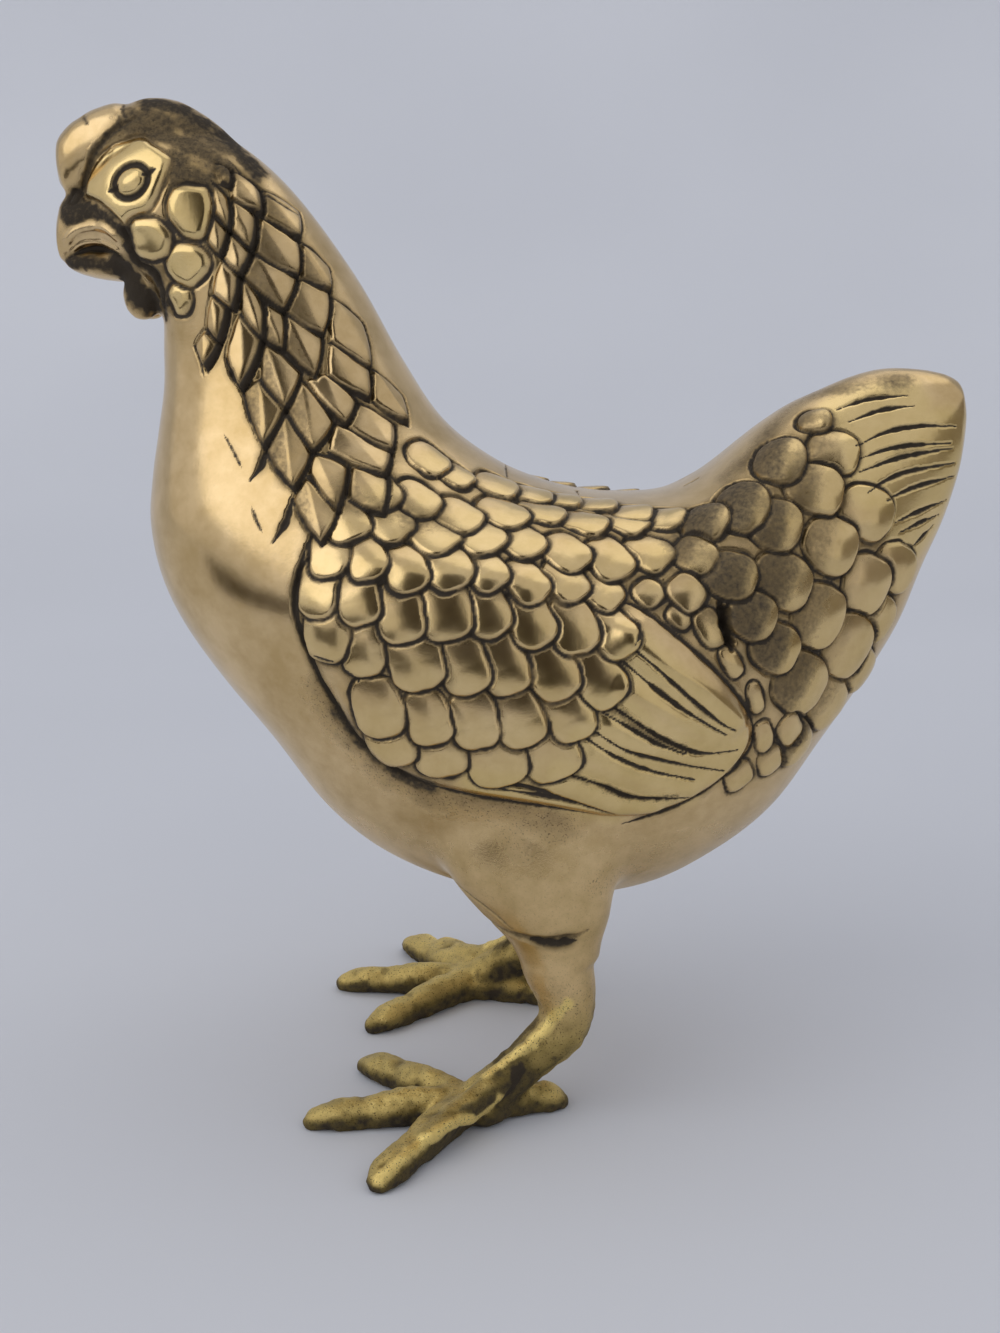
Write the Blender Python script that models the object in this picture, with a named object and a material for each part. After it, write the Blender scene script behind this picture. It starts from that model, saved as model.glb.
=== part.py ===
"""A standing hen in hollow cast brass.

Two half shells meet on the middle plane and carry the head, neck, breast, wings and thighs. A separate
hollow tail is brazed behind them. Each leg is a solid casting on a threaded stud, and its foot is held
on a tenon. The main feathers stand up from each flank. The hen faces -X and stands on Z = 0, with the
middle plane at Y = 0.

Sizes are in millimetres here and become metres when a mesh is made. Pieces that come in pairs are made
for the right side, at +Y, and the left ones are their mirror images.
"""
import math

import bmesh
import bpy
from mathutils import Matrix, Vector
from mathutils.bvhtree import BVHTree

MM = 0.001

# Fits
FIT_GAP = 0.3            # clearance that the braze or the thread fills
OVERREACH = 20.0         # how far a cutter goes past what it cuts
OVERLAP = 2.0            # how deep one form starts inside the form that it grows from

# Shell. Each station is one slice: (back x, back z, belly x, belly z, half width)
WALL = 2.5
OUTSIDE_SEGMENTS = 32
INSIDE_SEGMENTS = 20
OUTSIDE_STEPS = 2        # rings from one station to the next
INSIDE_STEPS = 1
HEAD_STATIONS = (
    (-99.5, 224.5, -97.0, 205.0, 8.0),
    (-92.5, 230.0, -91.5, 200.5, 12.6),
    (-81.5, 234.5, -86.5, 196.5, 15.4),
    (-67.5, 231.5, -84.0, 190.0, 17.2),
)
NECK_STATIONS = (
    (-53.5, 220.5, -84.3, 183.0, 18.4),
    (-38.5, 200.5, -84.8, 174.0, 20.8),
    (-27.5, 181.0, -86.6, 163.5, 24.5),
    (-17.6, 166.4, -88.4, 153.0, 29.5),
)
TRUNK_STATIONS = (
    (-4.5, 156.5, -89.3, 142.0, 35.0),
    (8.0, 151.3, -87.2, 129.5, 39.5),
    (18.0, 149.2, -82.0, 117.5, 43.0),
    (26.0, 148.7, -73.0, 104.0, 45.0),
    (31.0, 148.9, -61.0, 88.6, 46.0),
    (35.0, 149.4, -47.6, 70.4, 46.3),
    (38.5, 150.4, -32.4, 58.0, 46.3),
    (42.0, 152.2, -12.2, 49.6, 45.8),
    (46.0, 154.7, 10.0, 46.6, 44.5),
    (50.5, 158.3, 31.7, 49.4, 41.5),
    (55.0, 162.2, 49.5, 58.0, 37.5),
    (60.0, 166.2, 64.0, 69.5, 32.5),
)
TAIL_STATIONS = (
    (66.0, 170.2, 75.7, 86.0, 27.0),
    (73.0, 173.5, 86.4, 102.0, 21.5),
    (80.5, 176.7, 94.4, 116.0, 17.0),
    (88.0, 178.6, 99.6, 130.0, 13.5),
    (96.0, 178.6, 104.4, 142.0, 10.5),
    (103.0, 177.4, 107.6, 154.0, 7.5),
    (106.8, 175.5, 108.6, 163.5, 4.5),
)
STATIONS = HEAD_STATIONS + NECK_STATIONS + TRUNK_STATIONS + TAIL_STATIONS
FACE_POLE = (-102.0, 214.5)             # where the skin closes at the face, as (x, z)
TAIL_POLE = (108.7, 169.8)
SOLID_FACE_COUNT = 1                    # stations at the face that the hollow does not reach
SOLID_TAIL_COUNT = 4                    # and at the tail's edge

# Comb: slices across a thick crest, (top x, top z, root x, root z, half width)
COMB_STATIONS = (
    (-107.8, 227.4, -104.6, 217.6, 3.8),
    (-107.2, 231.2, -101.0, 219.0, 5.6),
    (-104.2, 234.6, -97.5, 221.0, 6.6),
    (-101.6, 235.4, -95.5, 221.5, 6.9),
    (-98.8, 237.8, -93.5, 222.0, 7.2),
    (-93.4, 239.4, -90.0, 222.0, 7.5),
    (-90.8, 239.0, -88.0, 222.0, 7.6),
    (-85.8, 240.6, -85.0, 222.0, 7.8),
    (-78.8, 239.8, -81.0, 222.0, 8.0),
    (-71.4, 235.8, -78.0, 221.0, 7.6),
    (-65.6, 230.8, -74.0, 219.0, 6.6),
)
COMB_FRONT_POLE = (-107.6, 221.6)
COMB_BACK_POLE = (-62.0, 226.6)
COMB_SEGMENTS = 16

# Beak: slices from the face to the tip, (x, top z, bottom z, half width)
UPPER_BEAK = (
    (-92.0, 220.6, 205.6, 8.0),
    (-99.0, 220.2, 205.4, 7.8),
    (-103.6, 219.6, 205.0, 6.8),
    (-106.8, 217.6, 204.4, 5.2),
    (-108.2, 213.4, 204.0, 3.4),
)
UPPER_BEAK_TIP = (-108.7, 207.6)
LOWER_BEAK = (
    (-90.0, 208.0, 198.6, 6.6),
    (-98.0, 206.4, 199.4, 6.2),
    (-103.6, 206.0, 200.8, 5.0),
    (-106.4, 205.6, 202.4, 3.2),
)
LOWER_BEAK_TIP = (-107.6, 204.6)
BEAK_SEGMENTS = 14

# Small forms on each side of the head: (centre x, y, z), (radius x, y, z)
EYE = ((-88.0, 12.4, 221.0), (4.8, 2.6, 4.0))
FRONT_WATTLE = ((-91.0, 4.2, 195.6), (5.2, 4.2, 7.2))
BACK_WATTLE = ((-79.6, 12.0, 195.0), (4.2, 4.4, 4.6))
CHEEK = ((-76.0, 12.4, 206.0), (6.0, 4.6, 6.6))
SMALL_FORM_SEGMENTS = 14
SMALL_FORM_RINGS = 8

# Wing: layers raised on each flank, each kept inside an (x, z) outline
WING_INSIDE_Y = 8.0
WING_RELIEF = 2.2
WING_OUTLINE = (
    (-46.0, 137.0), (-49.2, 127.0), (-47.8, 116.0), (-42.8, 106.0), (-34.5, 96.5),
    (-23.0, 88.0), (-8.0, 82.5), (8.0, 79.5), (24.0, 79.0), (38.0, 84.0),
    (48.5, 91.5), (54.0, 99.5), (53.0, 106.0), (46.0, 115.5), (34.0, 126.0),
    (18.0, 137.0), (-2.0, 143.5), (-24.0, 144.5), (-38.0, 142.5),
)
QUILL_RELIEF = 3.4
QUILL_OUTLINE = (
    (26.0, 128.5), (33.0, 124.4), (42.0, 116.4), (48.6, 108.8), (51.6, 102.8),
    (50.6, 98.2), (44.0, 93.6), (33.0, 89.4), (18.0, 86.4), (2.0, 86.6),
    (-6.0, 89.0), (4.0, 92.6), (11.0, 99.0), (16.0, 108.0), (20.0, 118.0),
)

# Plumage: the main feathers, raised on each flank with a few faces to each
FEATHER_SINK = 1.2                      # how deep a feather starts under the surface
FEATHER_LIFT = 1.0                      # how far its tip stands proud
FEATHER_ROOT_DEPTH = 0.3                # how deep the rim of its root lies
FEATHER_CROWN = 0.9                     # height of its middle
FEATHER_SIDES = 8
KITE_SIDES = 4
FACING_REACH = 3.0                      # how far round a point the surface is felt for its slope
# Rows: (guide as (x, z) points, count, turn of the tips in degrees, half width, half length)
WING_ROWS = (
    (((-28.5, 97.0), (-10.0, 93.3), (7.5, 95.0)), 4, -78.0, 5.6, 5.4),
    (((-41.0, 108.0), (-22.0, 103.6), (-4.0, 102.8), (14.0, 105.0)), 6, -78.0, 5.3, 5.8),
    (((-43.0, 122.0), (-23.0, 116.6), (-4.0, 115.4), (18.5, 113.6)), 7, -75.0, 4.9, 6.2),
    (((-44.5, 131.0), (-16.0, 127.4), (4.6, 125.0), (22.0, 122.2)), 8, -72.0, 4.5, 5.4),
    (((-42.0, 138.6), (-15.0, 136.6), (1.4, 133.8), (19.6, 130.4)), 8, -70.0, 4.2, 4.6),
)
SADDLE_ROWS = (
    (((-38.0, 146.0), (-17.0, 144.0), (6.0, 140.4), (31.0, 138.0)), 8, -61.0, 4.6, 4.8),
    (((-31.0, 152.0), (-2.5, 146.6), (28.0, 144.6)), 7, -53.0, 4.4, 4.6),
)
HACKLE_ROWS = (
    (((-68.7, 200.8), (-69.7, 182.6)), 3, -76.0, 3.0, 6.4),
    (((-64.6, 213.5), (-64.4, 200.0), (-65.8, 180.0)), 5, -70.0, 3.0, 6.4),
    (((-60.4, 210.0), (-60.2, 190.0), (-61.0, 167.4)), 6, -72.0, 3.1, 6.4),
    (((-54.3, 206.0), (-53.8, 178.0), (-55.7, 158.0)), 6, -62.0, 4.0, 6.8),
    (((-46.9, 200.9), (-46.3, 173.7), (-50.5, 146.0)), 7, -61.0, 4.4, 6.9),
    (((-39.0, 187.1), (-38.5, 170.1), (-40.7, 153.3)), 5, -60.0, 4.2, 6.6),
    (((-30.4, 172.5), (-30.4, 165.0), (-31.7, 157.6)), 3, -58.0, 3.8, 6.0),
)
TAIL_ROWS = (
    (((49.0, 134.0), (59.5, 117.0), (66.5, 107.0), (69.0, 96.0)), 4, -24.0, 5.2, 5.6),
    (((57.0, 146.0), (62.0, 132.0), (70.5, 123.0), (79.0, 114.0), (81.0, 103.0)), 5, -24.0, 5.4, 5.6),
    (((64.0, 158.0), (72.0, 144.0), (82.0, 131.0), (88.0, 119.0)), 4, -20.0, 5.4, 5.6),
    (((75.0, 161.0), (83.0, 146.0), (92.0, 131.0)), 4, -20.0, 4.8, 5.2),
)
RIB_HALF_WIDTH = 2.6
QUILL_RIBS = (
    ((21.0, 112.5), (29.0, 107.0), (37.0, 101.2), (45.0, 97.0)),
    ((17.5, 103.6), (25.0, 99.0), (32.0, 95.8), (41.0, 93.0)),
    ((13.0, 96.0), (22.0, 91.4), (31.0, 87.4), (40.0, 86.4)),
)

# Thigh: (z, centre x, centre y, radius x, radius y), from inside the trunk down
THIGH_SLICES = (
    (80.0, 4.0, 24.0, 25.0, 15.0),
    (68.0, 3.2, 26.6, 22.8, 15.4),
    (59.0, 4.2, 28.2, 19.6, 14.0),
    (51.0, 7.0, 29.2, 16.0, 11.8),
)
THIGH_END_Z = 44.5
THIGH_END_RADII = (11.6, 9.6)
STUD_X, STUD_Y = 9.6, 29.7              # the stud's axis, at the middle of the thigh's end
THIGH_SEGMENTS = 24
THIGH_STEPS = 2
THIGH_FLOOR = 5.0                       # metal left over the leg's seat
BOSS_RADIUS = 7.0
BOSS_CAP = 3.7                          # metal over the end of the stud

# Leg stud
STUD_RADIUS = 3.0
STUD_CHAMFER = 0.6
STUD_IN_THIGH = 17.5
STUD_IN_LEG = 11.5

# Leg: (x, share of the way out from the stud to the hub, z, radius) along the shin, below its flat top
LEG_TOP_RADIUS = 9.9
LEG_PATH = (
    (9.9, 0.03, 38.5, 9.4),
    (11.4, 0.10, 32.5, 7.7),
    (12.6, 0.18, 27.0, 6.6),
    (11.2, 0.30, 22.4, 6.4),
    (6.8, 0.48, 17.8, 5.9),
    (1.2, 0.69, 13.0, 5.5),
    (-4.4, 0.87, 8.6, 5.5),
    (-8.6, 1.00, 5.0, 5.5),
)
LEG_STEPS = 2
LEG_BEVEL_RESOLUTION = 2

# Foot, about its hub
STANCE = 71.6                           # from one foot's hub to the other's
HUB_X, HUB_Y = -8.2, STANCE / 2
HUB_RADIUS = 7.4
HUB_TOP_Z = 7.6
TENON_RADIUS = 2.4
TENON_BOTTOM_Z = 1.4
TENON_SEGMENTS = 20
TOE_ROOT_X = -12.0                      # where the toes meet
TOE_SEGMENTS = 14
# (share of the length, radius, height of the axis over the floor)
TOE_SLICES = (
    (0.00, 5.4, 4.4),
    (0.30, 5.0, 4.2),
    (0.55, 4.5, 3.5),
    (0.80, 4.2, 3.0),
    (0.93, 3.3, 2.4),
    (0.98, 1.9, 2.0),
)
# (name, length, turn from straight ahead towards the outside in degrees)
TOES = (
    ("outer", 40.5, 59.0),
    ("middle", 40.0, 6.0),
    ("inner", 39.0, -43.0),
    ("hind", 26.0, 196.0),
)

# Tail joint: where its plane meets the back and the belly, as (x, z)
TAIL_JOINT_BACK = (33.0, 149.2)
TAIL_JOINT_BELLY = (70.5, 77.5)
SLIT_WIDTH = 2.2                        # a stretch on the left that the braze did not fill
SLIT_LENGTH = 10.0
SLIT_UP = 10.9                          # from the middle of the joint to the middle of the slit
SLIT_INSIDE_Y = 15.0

# Working limits
ROUND_SEGMENTS = 24
WELD = 0.02
SMOOTH_BELOW_DEGREES = 40.0
REACH = 400.0                           # more than the hen measures any way
PLATE_ROTATION = Matrix.Rotation(math.radians(90.0), 4, "X")

# Materials: (name, base colour, roughness, metallic)
BODY_BRASS = ("polished_brass", (0.78, 0.57, 0.27, 1.0), 0.28, 1.0)
TAIL_BRASS = ("tail_brass", (0.75, 0.55, 0.26, 1.0), 0.30, 1.0)
LEG_BRASS = ("satin_brass", (0.74, 0.55, 0.24, 1.0), 0.38, 1.0)
FOOT_BRASS = ("raw_brass", (0.72, 0.55, 0.20, 1.0), 0.45, 1.0)
STUD_STEEL = ("plated_steel", (0.55, 0.55, 0.56, 1.0), 0.35, 1.0)


def clear_scene():
    for obj in list(bpy.data.objects):
        bpy.data.objects.remove(obj)


def new_collection(name):
    collection = bpy.data.collections.new(name)
    bpy.context.scene.collection.children.link(collection)
    return collection


def material(spec):
    """The material of this name, made the first time it is asked for."""
    name, colour, roughness, metallic = spec
    made = bpy.data.materials.get(name)
    if made:
        return made
    made = bpy.data.materials.new(name)
    made.use_nodes = True
    shader = made.node_tree.nodes["Principled BSDF"]
    shader.inputs["Base Color"].default_value = colour
    shader.inputs["Roughness"].default_value = roughness
    shader.inputs["Metallic"].default_value = metallic
    return made


def object_from(bm, name, collection):
    mesh = bpy.data.meshes.new(name)
    bm.to_mesh(mesh)
    bm.free()
    obj = bpy.data.objects.new(name, mesh)
    collection.objects.link(obj)
    return obj


def curve_through(rows, steps):
    """The rows with (steps - 1) more between each pair, on a Catmull-Rom curve."""
    last = len(rows) - 1
    out = []
    for i in range(last):
        before, here = rows[max(i - 1, 0)], rows[i]
        there, after = rows[i + 1], rows[min(i + 2, last)]
        for step in range(steps):
            t = step / steps
            out.append(tuple(
                0.5 * (2 * b + (c - a) * t + (2 * a - 5 * b + 4 * c - d) * t ** 2
                       + (3 * b - a - 3 * c + d) * t ** 3)
                for a, b, c, d in zip(before, here, there, after)
            ))
    out.append(tuple(rows[last]))
    return out


def skin(name, collection, rings, first_pole, last_pole):
    """A closed skin over rings of equal length, shut by a point at each end."""
    bm = bmesh.new()
    loops = [[bm.verts.new(Vector(point) * MM) for point in ring] for ring in rings]
    for ring, following in zip(loops, loops[1:]):
        for i, here in enumerate(ring):
            j = (i + 1) % len(ring)
            bm.faces.new((here, ring[j], following[j], following[i]))
    for pole, ring in ((first_pole, loops[0]), (last_pole, loops[-1])):
        tip = bm.verts.new(Vector(pole) * MM)
        for i, here in enumerate(ring):
            bm.faces.new((here, ring[(i + 1) % len(ring)], tip))
    bmesh.ops.recalc_face_normals(bm, faces=bm.faces)
    return object_from(bm, name, collection)


def turns(count):
    """(cosine, sine) of each of count equal steps round a circle."""
    return [(math.cos(math.tau * i / count), math.sin(math.tau * i / count)) for i in range(count)]


def oval_between(station, around, grow=0.0):
    """An oval slice between a top point and a bottom point of the middle plane, grown outwards."""
    top_x, top_z, bottom_x, bottom_z, half_width = station
    top, bottom = Vector((top_x, 0.0, top_z)), Vector((bottom_x, 0.0, bottom_z))
    middle, half = (top + bottom) / 2, (top - bottom) / 2
    up = half * (1.0 + grow / half.length)
    side = Vector((0.0, half_width + grow, 0.0))
    return [middle + up * cosine + side * sine for cosine, sine in turns(around)]


def body_skin(name, collection, grow=0.0):
    """The whole outer form from face to tail, both sides."""
    rings = [oval_between(s, OUTSIDE_SEGMENTS, grow) for s in curve_through(STATIONS, OUTSIDE_STEPS)]
    face = (FACE_POLE[0] - grow, 0.0, FACE_POLE[1])
    tail = (TAIL_POLE[0] + grow, 0.0, TAIL_POLE[1])
    return skin(name, collection, rings, face, tail)


def body_hollow(collection):
    """The space that the casting core leaves inside the walls."""
    kept = STATIONS[SOLID_FACE_COUNT:-SOLID_TAIL_COUNT]
    rings = [oval_between(s, INSIDE_SEGMENTS, -WALL) for s in curve_through(kept, INSIDE_STEPS)]
    poles = [sum(ring, Vector()) / len(ring) for ring in (rings[0], rings[-1])]
    return skin("core", collection, rings, *poles)


def level_oval(z, x, y, radius_x, radius_y):
    return [(x + radius_x * cosine, y + radius_y * sine, z) for cosine, sine in turns(THIGH_SEGMENTS)]


def thigh(collection, grow, end_z):
    """A tapering thigh that ends flat at end_z."""
    rows = curve_through((*THIGH_SLICES, (THIGH_END_Z, STUD_X, STUD_Y, *THIGH_END_RADII)), THIGH_STEPS)
    above = [row for row in rows if row[0] > end_z + OVERLAP]
    rows = (*above, (end_z, *rows[-1][1:]))
    rings = [level_oval(z, x, y, rx + grow, ry + grow) for z, x, y, rx, ry in rows]
    poles = [(row[1], row[2], row[0]) for row in (rows[0], rows[-1])]
    return skin("thigh", collection, rings, *poles)


def comb(collection):
    rings = [oval_between(station, COMB_SEGMENTS) for station in COMB_STATIONS]
    front = (COMB_FRONT_POLE[0], 0.0, COMB_FRONT_POLE[1])
    back = (COMB_BACK_POLE[0], 0.0, COMB_BACK_POLE[1])
    return skin("comb", collection, rings, front, back)


def beak(collection, slices, tip):
    rings = [oval_between((x, top, x, bottom, width), BEAK_SEGMENTS) for x, top, bottom, width in slices]
    root_x, root_top, root_bottom, _ = slices[0]
    root = (root_x, 0.0, (root_top + root_bottom) / 2)
    return skin("beak", collection, rings, root, (tip[0], 0.0, tip[1]))


def small_form(collection, form):
    """An ellipsoid on the side of the head."""
    centre, radii = form
    bm = bmesh.new()
    bmesh.ops.create_uvsphere(
        bm, u_segments=SMALL_FORM_SEGMENTS, v_segments=SMALL_FORM_RINGS, radius=1.0
    )
    bmesh.ops.scale(bm, vec=Vector(radii) * MM, verts=bm.verts)
    bmesh.ops.translate(bm, vec=Vector(centre) * MM, verts=bm.verts)
    return object_from(bm, "form", collection)


def cylinder(name, collection, radius, bottom_z, top_z, at, segments=ROUND_SEGMENTS, chamfer=0.0):
    """An upright cylinder with its axis at the point at, and both rims chamfered if asked."""
    bm = bmesh.new()
    bmesh.ops.create_cone(
        bm, cap_ends=True, segments=segments, radius1=radius * MM, radius2=radius * MM,
        depth=(top_z - bottom_z) * MM,
    )
    if chamfer:
        rims = [edge for edge in bm.edges if any(len(face.verts) > 4 for face in edge.link_faces)]
        bmesh.ops.bevel(bm, geom=rims, offset=chamfer * MM, segments=1, affect="EDGES")
    middle = Vector((at[0], at[1], (bottom_z + top_z) / 2))
    bmesh.ops.translate(bm, vec=middle * MM, verts=bm.verts)
    return object_from(bm, name, collection)


def block(collection, low, high):
    """A box between two corners."""
    bm = bmesh.new()
    bmesh.ops.create_cube(bm, size=1.0)
    low, high = Vector(low) * MM, Vector(high) * MM
    bmesh.ops.scale(bm, vec=high - low, verts=bm.verts)
    bmesh.ops.translate(bm, vec=(low + high) / 2, verts=bm.verts)
    return object_from(bm, "block", collection)


def mesh_from(curve, name, collection):
    """A curve object's shape as a welded mesh object."""
    source = bpy.data.objects.new(name + "_curve", curve)
    collection.objects.link(source)
    bpy.context.view_layer.update()
    graph = bpy.context.evaluated_depsgraph_get()
    bm = bmesh.new()
    bm.from_mesh(bpy.data.meshes.new_from_object(source.evaluated_get(graph)))
    bmesh.ops.remove_doubles(bm, verts=bm.verts, dist=WELD * MM)
    bmesh.ops.recalc_face_normals(bm, faces=bm.faces)
    bpy.data.objects.remove(source)
    return object_from(bm, name, collection)


def wing_prism(collection, outline):
    """The outline drawn out sideways, from inside the body to well past its flank."""
    reach = max(station[4] for station in STATIONS) + OVERREACH
    curve = bpy.data.curves.new("outline", "CURVE")
    curve.dimensions = "2D"
    curve.fill_mode = "BOTH"
    curve.extrude = reach / 2 * MM
    spline = curve.splines.new("POLY")
    spline.points.add(len(outline) - 1)
    for point, (x, z) in zip(spline.points, outline):
        point.co = (x * MM, z * MM, 0.0, 1.0)
    spline.use_cyclic_u = True
    prism = mesh_from(curve, "prism", collection)
    shift = Vector((0.0, (WING_INSIDE_Y + reach / 2) * MM, 0.0))
    prism.data.transform(Matrix.Translation(shift) @ PLATE_ROTATION)
    return prism


def wing_layer(collection, outline, relief):
    """The body's skin grown by the relief, kept inside the outline."""
    layer = body_skin("layer", collection, relief)
    return combine(layer, wing_prism(collection, outline), "INTERSECT")


def flank_of(obj):
    """A search tree over the surface of a piece."""
    bm = bmesh.new()
    bm.from_mesh(obj.data)
    tree = BVHTree.FromBMesh(bm)
    bm.free()
    return tree


def spot(flank, x, z):
    """Where the right flank is met square from the side, and which way it faces round there."""
    steps = (-FACING_REACH, 0.0, FACING_REACH)
    hits = [
        flank.ray_cast(Vector((x + dx, REACH, z + dz)) * MM, Vector((0.0, -1.0, 0.0)))
        for dx in steps for dz in steps
    ]
    out = sum((normal for _, normal, _, _ in hits if normal), Vector()).normalized()
    place, _, _, _ = hits[len(hits) // 2]
    return place / MM, out


def spread(guide, count):
    """Evenly spaced points along a line through the guide's points."""
    legs = [math.dist(a, b) for a, b in zip(guide, guide[1:])]
    points = []
    for i in range(count):
        run = sum(legs) * i / (count - 1)
        for (a, b), leg in zip(zip(guide, guide[1:]), legs):
            if run <= leg or b == guide[-1]:
                points.append(tuple(p + (q - p) * run / leg for p, q in zip(a, b)))
                break
            run -= leg
    return points


def feather(flank, collection, x, z, turn_degrees, half_width, half_length, sides):
    """A low faceted pad, flush with the flank at its root and proud of it at its tip."""
    place, out = spot(flank, x, z)
    turn = math.radians(turn_degrees)
    ahead = Vector((math.cos(turn), 0.0, math.sin(turn)))
    ahead = (ahead - out * ahead.dot(out)).normalized()
    across = out.cross(ahead)
    slope = (FEATHER_LIFT + FEATHER_ROOT_DEPTH) / 2
    middle = (FEATHER_LIFT - FEATHER_ROOT_DEPTH) / 2
    bottom, rim = [], []
    for cosine, sine in turns(sides):
        edge = place + ahead * half_length * cosine + across * half_width * sine
        bottom.append(edge - out * FEATHER_SINK)
        rim.append(edge + out * (middle + slope * cosine))
    return skin("feather", collection, [bottom, rim], place - out * FEATHER_SINK, place + out * FEATHER_CROWN)


def rib(flank, collection, guide):
    """A roof-shaped rib along a guide on the flank."""
    spots = [spot(flank, x, z) for x, z in guide]
    rings = []
    for i, (place, out) in enumerate(spots):
        before, after = spots[max(i - 1, 0)][0], spots[min(i + 1, len(spots) - 1)][0]
        across = out.cross(after - before).normalized() * RIB_HALF_WIDTH
        base = place - out * FEATHER_SINK
        rings.append([base - across, place + out * FEATHER_LIFT, base + across])
    poles = [sum(ring, Vector()) / len(ring) for ring in (rings[0], rings[-1])]
    return skin("rib", collection, rings, *poles)


def plumage(flank, collection, rows, sides, ribs=()):
    """All feathers of some rows, and any ribs, as one tool."""
    forms = [rib(flank, collection, guide) for guide in ribs]
    for guide, count, turn_degrees, half_width, half_length in rows:
        for x, z in spread(guide, count):
            forms.append(feather(flank, collection, x, z, turn_degrees, half_width, half_length, sides))
    first, *others = forms
    for form in others:
        combine(first, form, "UNION")
    return first


def combine(target, tool, operation):
    """Applies one Boolean and removes the tool."""
    modifier = target.modifiers.new(operation, "BOOLEAN")
    modifier.operation = operation
    modifier.solver = "EXACT"
    modifier.object = tool
    bpy.context.view_layer.update()
    graph = bpy.context.evaluated_depsgraph_get()
    mesh = bpy.data.meshes.new_from_object(target.evaluated_get(graph))
    target.modifiers.clear()
    target.data = mesh
    bpy.data.objects.remove(tool)
    return target


def in_joint_frame(obj):
    """Moves a tool to the tail joint: X points out to the rear, Z up along the joint's plane."""
    back = Vector((TAIL_JOINT_BACK[0], 0.0, TAIL_JOINT_BACK[1]))
    belly = Vector((TAIL_JOINT_BELLY[0], 0.0, TAIL_JOINT_BELLY[1]))
    up = (back - belly).normalized()
    out = Vector((up.z, 0.0, -up.x))
    turn = Matrix((out, Vector((0.0, 1.0, 0.0)), up)).transposed().to_4x4()
    obj.data.transform(Matrix.Translation((back + belly) / 2 * MM) @ turn)
    return obj


def joint_front(collection):
    """All that lies in front of the tail joint."""
    return in_joint_frame(block(collection, (-REACH, -REACH, -REACH), (-FIT_GAP / 2, REACH, REACH)))


def joint_rear(collection):
    """All that lies behind the tail joint."""
    return in_joint_frame(block(collection, (FIT_GAP / 2, -REACH, -REACH), (REACH, REACH, REACH)))


def slit(collection):
    """The open stretch of the tail joint, through the left wall."""
    low = (-SLIT_WIDTH / 2, -REACH, SLIT_UP - SLIT_LENGTH / 2)
    high = (SLIT_WIDTH / 2, -SLIT_INSIDE_Y, SLIT_UP + SLIT_LENGTH / 2)
    return in_joint_frame(block(collection, low, high))


def head_forms(collection):
    """The forms that one half of the head adds to the plain skin."""
    yield comb(collection)
    yield beak(collection, UPPER_BEAK, UPPER_BEAK_TIP)
    yield beak(collection, LOWER_BEAK, LOWER_BEAK_TIP)
    for form in (EYE, FRONT_WATTLE, BACK_WATTLE, CHEEK):
        yield small_form(collection, form)


def shell_half(tools):
    """One half of the hollow body, with its thigh, its wing and its half of the head."""
    axis = (STUD_X, STUD_Y)
    stud_top = THIGH_END_Z + STUD_IN_THIGH
    half = body_skin("body", tools)
    combine(half, thigh(tools, 0.0, THIGH_END_Z), "UNION")
    combine(half, wing_layer(tools, WING_OUTLINE, WING_RELIEF), "UNION")
    combine(half, wing_layer(tools, QUILL_OUTLINE, QUILL_RELIEF), "UNION")
    flank = flank_of(half)
    combine(half, plumage(flank, tools, WING_ROWS + SADDLE_ROWS, FEATHER_SIDES, QUILL_RIBS), "UNION")
    combine(half, plumage(flank, tools, HACKLE_ROWS, KITE_SIDES), "UNION")
    combine(half, body_hollow(tools), "DIFFERENCE")
    combine(half, thigh(tools, -WALL, THIGH_END_Z + THIGH_FLOOR), "DIFFERENCE")
    boss_bottom = THIGH_END_Z + THIGH_FLOOR - OVERLAP
    boss = cylinder("boss", tools, BOSS_RADIUS, boss_bottom, stud_top + FIT_GAP + BOSS_CAP, axis)
    combine(half, boss, "UNION")
    for form in head_forms(tools):
        combine(half, form, "UNION")
    hole_radius = STUD_RADIUS + FIT_GAP
    hole = cylinder("hole", tools, hole_radius, THIGH_END_Z - OVERREACH, stud_top + FIT_GAP, axis)
    combine(half, hole, "DIFFERENCE")
    combine(half, block(tools, (-REACH, FIT_GAP / 2, -REACH), (REACH, REACH, REACH)), "INTERSECT")
    return combine(half, joint_front(tools), "INTERSECT")


def tail(tools):
    """The hollow tail, open where it meets the body."""
    made = body_skin("tail", tools)
    feathers = plumage(flank_of(made), tools, TAIL_ROWS, FEATHER_SIDES)
    combine(made, mirrored(feathers, tools), "UNION")
    combine(made, feathers, "UNION")
    combine(made, body_hollow(tools), "DIFFERENCE")
    combine(made, joint_rear(tools), "INTERSECT")
    return combine(made, slit(tools), "DIFFERENCE")


def keep_between(target, low_z, high_z, tools):
    """Cuts off what lies under low_z and over high_z."""
    slab = block(tools, (-REACH, -REACH, low_z), (REACH, REACH, high_z))
    return combine(target, slab, "INTERSECT")


def shin_bar(top_z, tools):
    """A round bar along the leg's path, wider where its points are."""
    curve = bpy.data.curves.new("shin", "CURVE")
    curve.dimensions = "3D"
    curve.bevel_depth = MM
    curve.bevel_resolution = LEG_BEVEL_RESOLUTION
    curve.use_fill_caps = True
    over_top = (STUD_X, 0.0, top_z + OVERLAP, LEG_TOP_RADIUS)
    points = curve_through((over_top, *LEG_PATH), LEG_STEPS)
    spline = curve.splines.new("POLY")
    spline.points.add(len(points) - 1)
    for point, (x, way_out, z, radius) in zip(spline.points, points):
        y = STUD_Y + (HUB_Y - STUD_Y) * way_out
        point.co = (x * MM, y * MM, z * MM, 1.0)
        point.radius = radius
    return mesh_from(curve, "leg", tools)


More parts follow.
